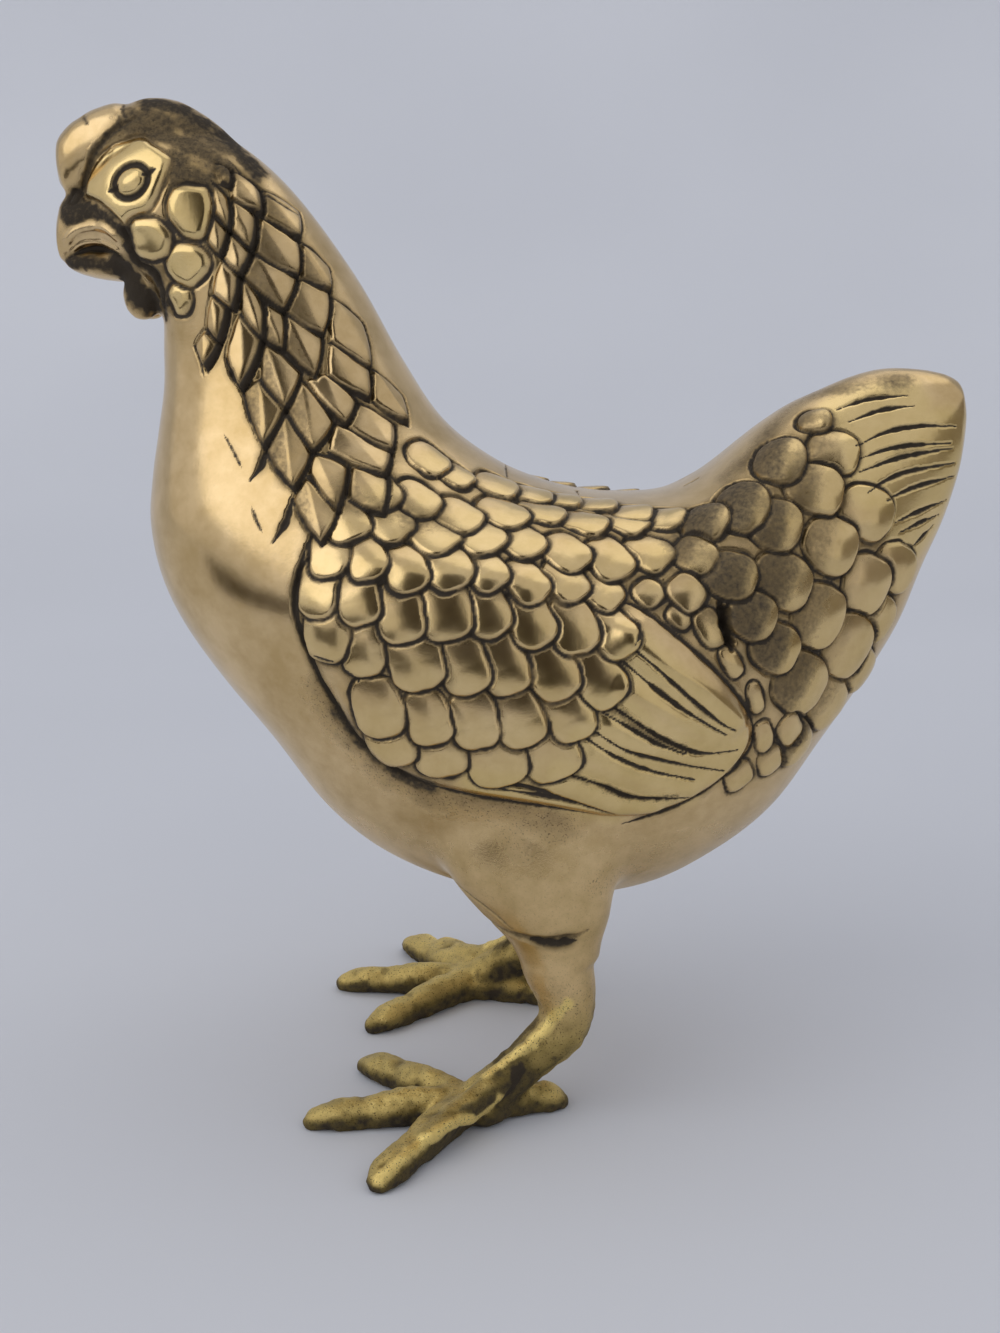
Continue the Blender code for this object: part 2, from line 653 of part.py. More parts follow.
def leg(tools):
    """Hock and shin, flat on top, bored for the stud, with a tenon for the foot."""
    top_z = THIGH_END_Z - FIT_GAP
    seat_z = HUB_TOP_Z + FIT_GAP
    made = shin_bar(top_z, tools)
    keep_between(made, seat_z, top_z, tools)
    tenon = cylinder(
        "tenon", tools, TENON_RADIUS, TENON_BOTTOM_Z, seat_z + OVERLAP, (HUB_X, HUB_Y), TENON_SEGMENTS
    )
    combine(made, tenon, "UNION")
    hole_bottom = THIGH_END_Z - STUD_IN_LEG - FIT_GAP
    hole_radius = STUD_RADIUS + FIT_GAP
    hole = cylinder("hole", tools, hole_radius, hole_bottom, top_z + OVERREACH, (STUD_X, STUD_Y))
    return combine(made, hole, "DIFFERENCE")


def toe(length, turn_degrees, tools):
    """A blunt tapering toe along the floor, for a foot whose hub is at Y = 0."""
    turn = math.radians(turn_degrees)
    ahead = Vector((-math.cos(turn), math.sin(turn), 0.0))
    across = Vector((-ahead.y, ahead.x, 0.0))
    up = Vector((0.0, 0.0, 1.0))
    root = Vector((TOE_ROOT_X, 0.0, 0.0)) - ahead * OVERLAP
    reach = length + OVERLAP
    rings = []
    for share, radius, height in TOE_SLICES:
        centre = root + ahead * reach * share + up * height
        rings.append([
            centre + (across * cosine + up * sine) * radius for cosine, sine in turns(TOE_SEGMENTS)
        ])
    first_height, last_height = TOE_SLICES[0][2], TOE_SLICES[-1][2]
    tip = root + ahead * reach + up * last_height
    return skin("toe", tools, rings, root + up * first_height, tip)


def foot(tools):
    """Hub and four toes, filed flat underneath and bored for the leg's tenon."""
    at = (HUB_X, 0.0)
    made = cylinder("foot", tools, HUB_RADIUS, -OVERLAP, HUB_TOP_Z + OVERLAP, at)
    for _, length, turn_degrees in TOES:
        combine(made, toe(length, turn_degrees, tools), "UNION")
    keep_between(made, 0.0, HUB_TOP_Z, tools)
    hole_bottom = TENON_BOTTOM_Z - FIT_GAP
    hole = cylinder(
        "hole", tools, TENON_RADIUS + FIT_GAP, hole_bottom, HUB_TOP_Z + OVERREACH, at, TENON_SEGMENTS
    )
    combine(made, hole, "DIFFERENCE")
    made.data.transform(Matrix.Translation((0.0, HUB_Y * MM, 0.0)))
    return made


def leg_stud(tools):
    return cylinder(
        "leg_stud", tools, STUD_RADIUS, THIGH_END_Z - STUD_IN_LEG, THIGH_END_Z + STUD_IN_THIGH,
        (STUD_X, STUD_Y), chamfer=STUD_CHAMFER,
    )


def finish(obj, name, collection, spec):
    """Moves a finished piece to the hen's collection, with its name, material and shading."""
    for holder in list(obj.users_collection):
        holder.objects.unlink(obj)
    collection.objects.link(obj)
    obj.name = name
    obj.data.materials.clear()
    obj.data.materials.append(material(spec))
    obj.data.shade_smooth()
    obj.data.set_sharp_from_angle(angle=math.radians(SMOOTH_BELOW_DEGREES))


def mirrored(obj, collection):
    """A copy on the other side of the middle plane, with its faces turned outwards again."""
    copy = bpy.data.objects.new(obj.name, obj.data.copy())
    copy.data.transform(Matrix.Diagonal((1.0, -1.0, 1.0, 1.0)))
    copy.data.flip_normals()
    collection.objects.link(copy)
    return copy


def finish_pair(right, name, collection, spec):
    """The right piece and its mirror image."""
    finish(mirrored(right, collection), name + "_left", collection, spec)
    finish(right, name + "_right", collection, spec)


def shells(tools, hen):
    """Both body halves, with the slit open on the left."""
    right = shell_half(tools)
    left = combine(mirrored(right, tools), slit(tools), "DIFFERENCE")
    finish(left, "body_left", hen, BODY_BRASS)
    finish(right, "body_right", hen, BODY_BRASS)


def main():
    clear_scene()
    hen = new_collection("brass_hen_figurine")
    tools = new_collection("cutters")
    shells(tools, hen)
    finish(tail(tools), "tail", hen, TAIL_BRASS)
    finish_pair(leg(tools), "leg", hen, LEG_BRASS)
    finish_pair(foot(tools), "foot", hen, FOOT_BRASS)
    finish_pair(leg_stud(tools), "leg_stud", hen, STUD_STEEL)


main()
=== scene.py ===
"""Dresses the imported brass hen: chased feathers, a worked head, rough feet, brass with patina, a studio.

Lengths are in millimetres until a mesh is made. The hen faces -X, stands on Z = 0 and is even about Y = 0.
One fine skin is made for the whole hen. Its left side, at -Y, is worked feather by feather and mirrored,
then cut into the pieces that the CAD model has. Points of the left flank are given as it is seen square
from the side, by (x, z), and the few that lie under or behind something by (x, y, z).
"""
import functools
import itertools
import math

import bmesh
import bpy
import numpy as np
from mathutils import Matrix, Vector
from mathutils.bvhtree import BVHTree


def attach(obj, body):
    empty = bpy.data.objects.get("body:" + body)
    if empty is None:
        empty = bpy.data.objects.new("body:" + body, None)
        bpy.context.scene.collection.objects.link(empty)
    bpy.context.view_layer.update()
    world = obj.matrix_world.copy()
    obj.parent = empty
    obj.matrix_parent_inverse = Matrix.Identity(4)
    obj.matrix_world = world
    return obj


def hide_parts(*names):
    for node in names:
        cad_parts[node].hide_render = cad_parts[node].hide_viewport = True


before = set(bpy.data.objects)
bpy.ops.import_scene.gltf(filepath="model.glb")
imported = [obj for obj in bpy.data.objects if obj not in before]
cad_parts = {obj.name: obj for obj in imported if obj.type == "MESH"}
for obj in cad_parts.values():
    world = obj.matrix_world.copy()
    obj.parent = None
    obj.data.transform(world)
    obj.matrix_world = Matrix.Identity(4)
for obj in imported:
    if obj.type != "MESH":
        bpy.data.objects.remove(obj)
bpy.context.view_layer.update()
MM = 0.001

# Form. Each station is one slice: (back x, back z, belly x, belly z, half width)
STATIONS = (
    (-99.5, 224.5, -97, 205, 8), (-92.5, 230, -91.5, 200.5, 12.6), (-81.5, 234.5, -86.5, 196.5, 15.4),
    (-67.5, 231.5, -84, 190, 17.2), (-53.5, 220.5, -84.3, 183, 18.4), (-38.5, 200.5, -84.8, 174, 20.8),
    (-27.5, 181, -86.6, 163.5, 24.5), (-17.6, 166.4, -88.4, 153, 29.5), (-4.5, 156.5, -89.3, 142, 35),
    (8, 151.3, -87.2, 129.5, 39.5), (18, 149.2, -82, 117.5, 43), (26, 148.7, -73, 104, 45),
    (31, 148.9, -61, 88.6, 46), (35, 149.4, -47.6, 70.4, 46.3), (38.5, 150.4, -32.4, 58, 46.3),
    (42, 152.2, -12.2, 49.6, 45.8), (46, 154.7, 10, 46.6, 44.5), (50.5, 158.3, 31.7, 49.4, 41.5),
    (55, 162.2, 49.5, 58, 37.5), (60, 166.2, 64, 69.5, 32.5), (66, 170.2, 75.7, 86, 27),
    (73, 173.5, 86.4, 102, 21.5), (80.5, 176.7, 94.4, 116, 17), (88, 178.6, 99.6, 130, 13.5),
    (96, 178.6, 104.4, 142, 10.5), (103, 177.4, 107.6, 154, 7.5), (106.8, 175.5, 108.6, 163.5, 4.5),
)
BODY_POLES = ((-102, 0, 214.5), (108.7, 0, 169.8))
COMB_STATIONS = (
    (-107.8, 227.4, -104.6, 217.6, 3.8), (-107.2, 231.2, -101, 219, 5.6),
    (-104.2, 234.6, -97.5, 221, 6.6), (-101.6, 236.2, -95.5, 221.5, 6.9),
    (-98.8, 237.8, -93.5, 222, 7.2), (-93.4, 239.4, -90, 222, 7.5), (-90.8, 239, -88, 222, 7.6),
    (-85.8, 240.4, -85, 222, 7.8), (-78.8, 239.8, -81, 222, 8), (-71.4, 235.8, -78, 221, 7.6),
    (-65.6, 230.8, -74, 219, 6.6),
)
COMB_POLES = ((-107.6, 0, 221.6), (-62, 0, 226.6))
UPPER_BEAK = (
    (-92, 220.6, -92, 205.6, 8), (-99, 220.2, -99, 205.4, 7.8), (-103.6, 219.6, -103.6, 205, 6.8),
    (-106.8, 217.6, -106.8, 204.4, 5.2), (-108.2, 213.4, -108.2, 204, 3.4),
)
UPPER_BEAK_POLES = ((-92, 0, 213), (-108.6, 0, 207.6))
LOWER_BEAK = (
    (-90, 208, -90, 198.6, 6.6), (-98, 206.4, -98, 199.4, 6.2), (-103.6, 206, -103.6, 200.8, 5),
    (-106.4, 205.6, -106.4, 202.4, 3.2),
)
LOWER_BEAK_POLES = ((-90, 0, 203.3), (-107.6, 0, 204.6))
# Lobes of the head: (centre), (radii)
LOBES = (
    ((-88.2, 4.6, 196), (4.6, 4, 6)), ((-78.4, 11.2, 195.6), (4.4, 4.2, 5.2)),
    ((-75.8, 12, 203.4), (6.2, 4.6, 6)), ((-84, 10.2, 208), (6.2, 4.2, 5.4)),
    ((-74.6, 11, 213.6), (5.4, 4.6, 6.6)),
)
# Thigh slices: (x, y, z, radius x, radius y)
THIGH_SLICES = (
    (4, 24, 80, 25, 15), (3.2, 26.6, 68, 22.8, 15.4), (4.2, 28.2, 59, 19.8, 14.2),
    (7.2, 29.4, 51, 15.6, 11.8), (9.2, 29.8, 45, 11.6, 9.8), (10.2, 29.9, 40, 9.8, 9),
)
# Tubes: (x, y, z, radius)
SHIN = (
    (9.8, 29.8, 44, 9.6), (10, 29.9, 38.5, 9), (11.6, 30.3, 32, 7.7), (12.4, 30.8, 26.4, 6.9),
    (10.6, 31.6, 21.6, 6.4), (5.6, 32.8, 16.8, 5.7), (0.6, 34, 12.6, 5.2), (-4.4, 35, 8.6, 5.4),
    (-8.6, 35.8, 5.4, 5.6),
)
TENDON = (
    (8, 32.6, 21, 4.2), (1.6, 36, 15.6, 3.4), (-4.6, 39.4, 11.4, 3.2), (-11, 44, 8.2, 3.2),
    (-17, 50.6, 6.8, 3), (-22, 57, 5.6, 2.6),
)
HUB = ((-8.2, 35.8, 3.4), (7.2, 7.2, 4.2))
TOE_ROOT = (-12, 35.8, 0)
TOE_ROOT_TOP = 3.0
# (share of the length, half width, height of the top)
TOE_SLICES = (
    (0, 5.2, 8.6), (0.25, 4.7, 8.8), (0.42, 5.1, 8.4), (0.6, 4.5, 7), (0.78, 4.8, 6.6), (0.9, 3.9, 5),
    (0.97, 2.4, 3.4),
)
# (length, turn from straight ahead towards the outside in degrees)
TOES = ((40.5, 59), (40, 6), (39, -43), (26, 196))
TOE_MIDDLE = 0.45       # how high a toe is widest, as a share of its top
TOE_RIDGE = 0.22        # how much narrower than an oval its upper half gets
AROUND, BALL_AROUND, TUBE_AROUND = 96, 32, 28
BALL_RINGS = 24
BODY_STEPS, PART_STEPS, TUBE_STEPS = 8, 4, 6

# Where the pieces part
MIDDLE = ((0.0, 0.0, 0.0), (0.0, 1.0, 0.0))
TAIL_JOINT = ((33.0, 0.0, 149.2), (70.5, 0.0, 77.5))
THIGH_JOINT = (0.0, 0.0, 44.35)
FOOT_JOINT = (0.0, 0.0, 7.75)
FLAT = 0.02             # how near to a cut a point counts as on it

# Skin
VOXEL = 0.9
MERGE, SNAP, FINE_SNAP = VOXEL / 10, VOXEL / 8, VOXEL / 20
SMOOTH_ROUNDS = 14
BLEND_CENTRE, BLEND_REACH = (3.0, 68.0), (44.0, 28.0)    # the top of the thigh, as (x, z)
BLEND_START, BLEND_EASE = 4.0, 8.0                       # how far out from the middle plane it begins
BLEND_STRENGTH, BLEND_ROUNDS = 1.6, 40


def through(rows, steps):
    """The rows with (steps - 1) more between each pair, on a Catmull-Rom curve, as an array."""
    rows = np.array(rows, float)
    padded = np.vstack((rows[:1], rows, rows[-1:]))
    out = []
    for a, b, c, d in zip(padded, padded[1:], padded[2:], padded[3:]):
        for t in np.arange(steps) / steps:
            out.append(0.5 * (2 * b + (c - a) * t + (2 * a - 5 * b + 4 * c - d) * t ** 2
                              + (3 * b - a - 3 * c + d) * t ** 3))
    return np.vstack((out, rows[-1:]))


def oval(centre, up, side, around=AROUND):
    """A ring of points round a centre."""
    turn = np.linspace(0.0, math.tau, around, endpoint=False)
    return centre + np.outer(np.cos(turn), up) + np.outer(np.sin(turn), side)


def unit(vectors):
    """A vector, or each row of an array, at length 1."""
    return vectors / np.maximum(np.linalg.norm(vectors, axis=-1, keepdims=True), 1e-6)


def soft(value):
    """Eases a value that is held between 0 and 1."""
    value = np.clip(value, 0.0, 1.0)
    return value * value * (3.0 - 2.0 * value)


def noise(points, size, seed):
    """Smooth values from -1 to 1 that change over about size millimetres."""
    side = 48
    lattice = np.random.default_rng(seed).uniform(-1.0, 1.0, (side, side, side))
    place = points / size
    low = np.floor(place).astype(int)
    part = soft(place - low)
    total = np.zeros(len(points))
    for corner in itertools.product((0, 1), repeat=3):
        weight = np.prod(np.where(corner, part, 1.0 - part), axis=1)
        total += weight * lattice[tuple(((low + corner) % side).T)]
    return total


def add_loft(form, rings, poles):
    """Adds a closed skin over rings of equal length, shut by a point at each end."""
    points, faces = form
    around = len(rings[0])
    start = len(points)
    for ring in rings:
        points.extend(ring)
    for row in range(len(rings) - 1):
        for i in range(around):
            here, beside = start + row * around + i, start + row * around + (i + 1) % around
            faces.append((here, beside, beside + around, here + around))
    for pole, row in zip(poles, (0, len(rings) - 1)):
        tip, first = len(points), start + row * around
        points.append(pole)
        faces.extend((first + i, first + (i + 1) % around, tip) for i in range(around))


def add_slices(form, rows, steps, poles):
    """A skin through upright ovals, given by (top x, top z, bottom x, bottom z, half width)."""
    rings = []
    for top_x, top_z, bottom_x, bottom_z, half_width in through(rows, steps):
        top, bottom = np.array((top_x, 0.0, top_z)), np.array((bottom_x, 0.0, bottom_z))
        rings.append(oval((top + bottom) / 2, (top - bottom) / 2, (0.0, half_width, 0.0)))
    add_loft(form, rings, poles)


def add_ball(form, centre, radii):
    ahead, across, up = np.diag(radii)
    rings = [
        oval(centre + up * math.sin(a), ahead * math.cos(a), across * math.cos(a), BALL_AROUND)
        for a in np.linspace(-0.5, 0.5, BALL_RINGS + 2)[1:-1] * math.pi
    ]
    add_loft(form, rings, (centre - up, centre + up))


def add_tube(form, rows):
    """A round bar through the rows of (x, y, z, radius)."""
    rows = through(rows, TUBE_STEPS)
    places, radii = rows[:, :3], rows[:, 3]
    along = unit(np.gradient(places, axis=0))
    side = np.cross(along, (0.0, 0.0, 1.0))
    side[np.linalg.norm(side, axis=1) < 0.05] = (0.0, 1.0, 0.0)
    side = unit(side)
    rings = [
        oval(place, radius * s, radius * u, TUBE_AROUND)
        for place, radius, s, u in zip(places, radii, side, np.cross(side, along))
    ]
    add_loft(form, rings, (places[0] - along[0] * radii[0] / 2, places[-1] + along[-1] * radii[-1] / 2))


def add_toe(form, length, degrees):
    """A blunt toe on the floor with a ridge along its top."""
    turn = math.radians(degrees)
    root, up = np.array(TOE_ROOT), np.array((0.0, 0.0, 1.0))
    ahead = np.array((-math.cos(turn), math.sin(turn), 0.0))
    across = np.array((-ahead[1], ahead[0], 0.0))
    angle = np.linspace(0.0, math.tau, TUBE_AROUND, endpoint=False)
    width = np.cos(angle) * (1.0 - TOE_RIDGE * np.maximum(np.sin(angle), 0.0))
    rings = [
        root + ahead * length * share + up * top * TOE_MIDDLE
        + np.outer(half_width * width, across) + np.outer(top * (1.0 - TOE_MIDDLE) * np.sin(angle), up)
        for share, half_width, top in through(TOE_SLICES, PART_STEPS)
    ]
    tip = root + ahead * length + up * TOE_SLICES[-1][2] * 0.4
    add_loft(form, rings, (root + up * TOE_ROOT_TOP, tip))


def hen_form():
    """Every plain form of the hen as one heap of overlapping closed skins."""
    form = ([], [])
    add_slices(form, STATIONS, BODY_STEPS, BODY_POLES)
    add_slices(form, COMB_STATIONS, PART_STEPS, COMB_POLES)
    add_slices(form, UPPER_BEAK, PART_STEPS, UPPER_BEAK_POLES)
    add_slices(form, LOWER_BEAK, PART_STEPS, LOWER_BEAK_POLES)
    thigh = through(THIGH_SLICES, PART_STEPS)
    rings = [oval(row[:3], (row[3], 0.0, 0.0), (0.0, row[4], 0.0)) for row in thigh]
    add_loft(form, rings, (thigh[0, :3], thigh[-1, :3]))
    for rows in (SHIN, TENDON):
        add_tube(form, rows)
    for centre, radii in (*LOBES, HUB):
        add_ball(form, centre, radii)
    for length, degrees in TOES:
        add_toe(form, length, degrees)
    return form


def both_sides(form):
    """The form with its mirror image beside it."""
    points, faces = np.array(form[0], float), form[1]
    shifted = [tuple(i + len(points) for i in face) for face in faces]
    return np.vstack((points, points * (1.0, -1.0, 1.0))), faces + shifted


def mesh_object(name, points, faces):
    mesh = bpy.data.meshes.new(name)
    mesh.from_pydata([tuple(p) for p in points], [], faces)
    obj = bpy.data.objects.new(name, mesh)
    bpy.context.scene.collection.objects.link(obj)
    return obj


def apply_modifier(obj, kind, **settings):
    """Gives the object the mesh that a modifier makes of its own."""
    modifier = obj.modifiers.new(kind, kind)
    for key, value in settings.items():
        setattr(modifier, key, value)
    graph = bpy.context.evaluated_depsgraph_get()
    made = bpy.data.meshes.new_from_object(obj.evaluated_get(graph))
    obj.modifiers.clear()
    old, obj.data = obj.data, made
    bpy.data.meshes.remove(old)


def read(data, key, width=3, kind=float):
    """One value or vector of each element of mesh data, a row for each."""
    values = np.empty(len(data) * width, kind)
    data.foreach_get(key, values)
    return values.reshape(-1, width)


def write_points(mesh, points):
    mesh.vertices.foreach_set("co", points.ravel())
    mesh.update()


def smoothed(mesh, points, rounds, inwards=0.5, outwards=-0.53):
    """Evens out the skin without shrinking it."""
    a, b = read(mesh.edges, "vertices", 2, int).T
    count = len(points)
    degree = np.bincount(a, minlength=count) + np.bincount(b, minlength=count)
    for share in (inwards, outwards) * rounds:
        total = np.stack([
            np.bincount(a, points[b, axis], count) + np.bincount(b, points[a, axis], count)
            for axis in range(points.shape[1])
        ], axis=1)
        points = points + share * (total / degree[:, None] - points)
    return points


def blended(mesh, points):
    """Lets the thigh run into the belly without a step."""
    across, up = ((points[:, (0, 2)] - BLEND_CENTRE) / BLEND_REACH).T
    share = soft(BLEND_STRENGTH * (1.0 - np.hypot(across, up)))
    share *= soft((np.abs(points[:, 1]) - BLEND_START) / BLEND_EASE)
    for _ in range(BLEND_ROUNDS):
        points = points + share[:, None] * (smoothed(mesh, points, 1, 0.5, 0.5) - points)
    return points


def base_skin():
    """The whole hen as one even fine skin, cut at the middle plane so that the left half is left."""
    obj = mesh_object("skin", *both_sides(hen_form()))
    apply_modifier(obj, "REMESH", mode="VOXEL", voxel_size=VOXEL)
    points = smoothed(obj.data, read(obj.data.vertices, "co"), SMOOTH_ROUNDS)
    write_points(obj.data, blended(obj.data, points))
    bm = bmesh.new()
    bm.from_mesh(obj.data)
    cut(bm, *MIDDLE)
    bmesh.ops.remove_doubles(bm, verts=bm.verts, dist=MERGE)
    for vert in bm.verts:
        if abs(vert.co.y) < SNAP:
            vert.co.y = 0.0
    bm.to_mesh(obj.data)
    bm.free()
    apply_modifier(obj, "SUBSURF", levels=1, render_levels=1)
    points = read(obj.data.vertices, "co")
    points[np.abs(points[:, 1]) < FINE_SNAP, 1] = 0.0
    points[:, 2] = np.maximum(points[:, 2], 0.0)
    write_points(obj.data, points)
    return obj


def cut(bm, place, normal):
    """Cuts away what lies beyond a plane, on the side that its normal points to."""
    everything = bm.verts[:] + bm.edges[:] + bm.faces[:]
    bmesh.ops.bisect_plane(
        bm, geom=everything, plane_co=place, plane_no=normal, clear_outer=True, dist=1e-5)


# Worked shapes
NORMAL_REACH = 2.2      # how far round a place the skin counts for which way it faces
WOBBLE = 0.30           # how far a chased edge wanders
GROOVE_HALF, GROOVE_DEPTH = 0.68, 0.5
ROLL = 1.0              # how far in from its edge a feather is rounded off
FADE = 1.4              # over how far in from its edge its wear and its veil set in
UNEVEN = (0.45, 0.45, 6.0)      # how much the x, z and turn of a feather in a row differ
UNEVEN_SIZE = 0.06
SHADE, SHADE_REACH = 0.55, 2.0  # patina and painted shadow under a feather's free end, and how far it spreads
FACE_WEAR = 0.20        # how bright the free half of a feather is rubbed
RIDGE_WEAR = 0.32       # and how bright the ridges between quills, and the flat parts of the head
KITE_BULGE = 0.05       # how far a side of a neck feather curves out, as a share of its length
KITE_RIDGE, KITE_RISE, KITE_DROP = 1.5, 0.6, 0.55
KITE_WIDTH = 3.4        # half width from which on the drop of a neck feather is full
# The reach of the drop, darkened with painted shade, and the strength of the painted shade on the front
# half, by x
DROP_REACHES = ((-62, -54, -46, -42), (1.2, 0.5, 0.5, 0.9))
KITE_FRONT_SHADES = ((-63, -58, -46, -42), (0, 0.42, 0.42, 0))
HOLLOW_DEPTH = 0.7      # how deep below its surroundings a point is hazed in full


def at_least(values, index, amount):
    """Lifts the values of some points to at least an amount."""
    values[index] = np.maximum(values[index], amount)


def outward(mesh, points):
    """The normals, level with the middle plane for the points on it."""
    normals = read(mesh.vertices, "normal")
    normals[points[:, 1] == 0.0, 1] = 0.0
    return unit(normals)


class Relief:
    """The worked left side: where each point is, how it is raised, and how dark, rough and worn it is."""

    def __init__(self, mesh):
        self.points = read(mesh.vertices, "co")
        self.normals = outward(mesh, self.points)
        self.faces = [tuple(face.vertices) for face in mesh.polygons]
        self.height, self.dark, self.rough, self.worn = np.zeros((4, len(self.points)))
        self.tree = BVHTree.FromPolygons([tuple(p) for p in self.points], self.faces)

    def settle(self, mesh):
        """Moves the points out by their heights and starts again from there."""
        self.points = self.points + self.normals * self.height[:, None]
        write_points(mesh, self.points)
        self.normals = outward(mesh, self.points)
        self.height[:] = 0.0
        self.tree = BVHTree.FromPolygons([tuple(p) for p in self.points], self.faces)

    def near(self, place, reach):
        return np.nonzero(np.abs(self.points - place).max(axis=1) < reach)[0]

    def place(self, *point):
        """Where the flank is met from the left at (x, z), or the surface point nearest to (x, y, z)."""
        if len(point) == 3:
            return np.array(self.tree.find_nearest(Vector(point))[0])
        x, z = point
        hit = self.tree.ray_cast(Vector((x, -200.0, z)), Vector((0.0, 1.0, 0.0)))[0]
        if hit is None:
            hit = self.tree.find_nearest(Vector((x, -6.0, z)))[0]
        return np.array(hit)

    def spot(self, x, z):
        """The place of (x, z) on the flank, and which way it faces there."""
        place = self.place(x, z)
        return place, unit(self.normals[self.near(place, NORMAL_REACH)].sum(axis=0))

    def round_about(self, place, normal, ahead, reach):
        """The points near a place that face its way, and how far each lies across and ahead of it."""
        index = self.near(place, reach)
        index = index[self.normals[index] @ normal > 0.1]
        offset = self.points[index] - place
        return index, offset @ np.cross(normal, ahead), offset @ ahead

    def sink(self, index, distance, half, depth, dark):
        """A chased groove with its bottom at distance 0, laid over what is there."""
        share = np.abs(distance) / half
        self.height[index] -= depth * soft(1.0 - share)
        at_least(self.dark, index, dark * soft(1.25 - share))

    def press(self, index, edge, top, dark=1.0):
        """Lays a raised shape over what is there, inside edge below 0, with a groove round it."""
        over = soft(0.5 - edge / 0.7)
        self.height[index] = self.height[index] * (1.0 - over) + top * over
        self.dark[index] *= 1.0 - over
        self.rough[index] *= 1.0 - over
        points = self.points[index]
        width = GROOVE_HALF * (1.0 + 0.35 * noise(points, 1.9, 14))
        dark = np.minimum(dark * (0.88 + 0.35 * noise(points, 3.1, 16)), 1.0)
        self.sink(index, edge, width, GROOVE_DEPTH, dark)


def laid(direction, normal):
    """A direction laid flat on the surface."""
    return unit(direction - normal * (direction @ normal))


def pointing(degrees, normal):
    """A direction of the side view, turned up from straight back, laid flat on the surface."""
    angle = math.radians(degrees)
    return laid(np.array((math.cos(angle), 0.0, math.sin(angle))), normal)


def oval_edge(u, v, across, along, power):
    """How far out each point is, as a share of an oval's reach, and its distance to the edge."""
    radial = (np.abs(across) ** power + np.abs(along) ** power) ** (1.0 / power)
    return radial, np.hypot(u, v) * (1.0 - 1.0 / np.maximum(radial, 0.001))


def feather(hen, x, z, degrees, half_width, tip, root,
            power=2.8, crown=1.0, rise=0.75, veil=0.0, reach=0.0):
    """A rounded feather whose free end points to degrees, with a groove round it.

    A veil of painted dark reflection lies on it from its root up to reach, a share of the way from its
    middle to its tip.
    """
    place, normal = hen.spot(x, z)
    ahead = pointing(degrees, normal)
    index, u, v = hen.round_about(place, normal, ahead, 1.5 * max(half_width, tip, root))
    along = v / np.where(v > 0, tip, root)
    radial, edge = oval_edge(u, v, u / half_width, along, power)
    edge += WOBBLE * noise(hen.points[index], 2.6, 5)
    hen.press(index, edge, crown * (0.7 * (1.0 - radial ** 2) + 0.3 * soft(-edge / ROLL)) + rise * along)
    # Painted shadow with patina: darker just beyond the free end, where it lies over the next feather.
    beyond = soft(1.0 - edge / SHADE_REACH) * (edge > 0.0) * soft(0.5 + along)
    inside = soft(-edge / FADE)
    at_least(hen.dark, index, SHADE * beyond)
    # Painted dark reflection: the veil over the root side.
    at_least(hen.dark, index, veil * inside * soft(1.2 * (reach - along)))
    at_least(hen.worn, index, FACE_WEAR * inside * soft(0.8 + along))


def row_of_feathers(hen, guide, count, half_width, tip, root, first_turn, last_turn):
    """Feathers spaced evenly along a guide, the rear ones under the front ones."""
    path = through(guide, 12)
    run = np.concatenate(((0.0,), np.cumsum(np.linalg.norm(np.diff(path, axis=0), axis=1))))
    uneven = np.random.default_rng(len(guide) * 100 + count)
    for i in reversed(range(count)):
        share = i / (count - 1)
        even = [np.interp(share * run[-1], run, path[:, axis]) for axis in (0, 1)]
        even.append(first_turn + (last_turn - first_turn) * share)
        x, z, turn = [value + uneven.normal(0, by) for value, by in zip(even, UNEVEN)]
        size = 1.0 + uneven.normal(0, UNEVEN_SIZE)
        feather(hen, x, z, turn, half_width * size, tip * size, root)


def kite(hen, corners):
    """A neck feather: a pointed leaf with a soft roof from root to tip, and a drop along its rear darkened
    with painted shade.
    """
    places = np.array([hen.place(*corner) for corner in corners])
    x, z = np.mean(corners, axis=0)
    centre, normal = hen.spot(x, z)
    half_length = np.linalg.norm(places[2] - places[0]) / 2
    ahead = laid(places[2] - places[0], normal)
    index, u, v = hen.round_about(centre, normal, ahead, 1.25 * half_length)
    flat = (places - centre) @ np.stack((np.cross(normal, ahead), ahead), axis=1)
    ring = np.vstack((flat, flat[:1]))
    turn = math.copysign(1.0, sum(a[0] * b[1] - a[1] * b[0] for a, b in zip(ring, ring[1:])))
    sides = []
    for a, b in zip(ring, ring[1:]):
        length = np.linalg.norm(b - a)
        (g, h), e, f = (b - a) / length, u - a[0], v - a[1]
        share = np.clip((e * g + f * h) / length, 0.0, 1.0)
        sides.append((e * h - f * g) * turn - 4.0 * KITE_BULGE * length * share * (1.0 - share))
    edge = np.max(sides, axis=0) + 0.6 * WOBBLE * noise(hen.points[index], 2.6, 6)
    half_width = np.abs(flat[:, 0]).max()
    roof = 1.0 - np.sqrt((u / half_width) ** 2 + 0.01)
    top = KITE_RIDGE * (0.7 * roof + 0.3 * soft(-edge / 1.2)) + KITE_RISE * v / half_length
    root_front = np.argmax(sides, axis=0) == 3
    hen.press(index, edge, top, dark=np.where(root_front, 0.25, 1.0))
    reach = np.interp(x, *DROP_REACHES) * min(half_width / KITE_WIDTH, 1.0)
    near = (edge < 0.4) & (-sides[1] < 2.0 * reach)
    dropping, rear = index[near], -sides[1][near] / reach
    hen.height[dropping] -= KITE_DROP * reach * soft(1.0 - rear / 2.0)
    # Painted shade in the drop along the rear.
    at_least(hen.dark, dropping, soft(1.5 - rear))
    # Painted shade on the front half of the middle neck feathers.
    at_least(hen.dark, index, np.interp(x, *KITE_FRONT_SHADES) * soft(-u / 0.8) * (edge < 0.0))


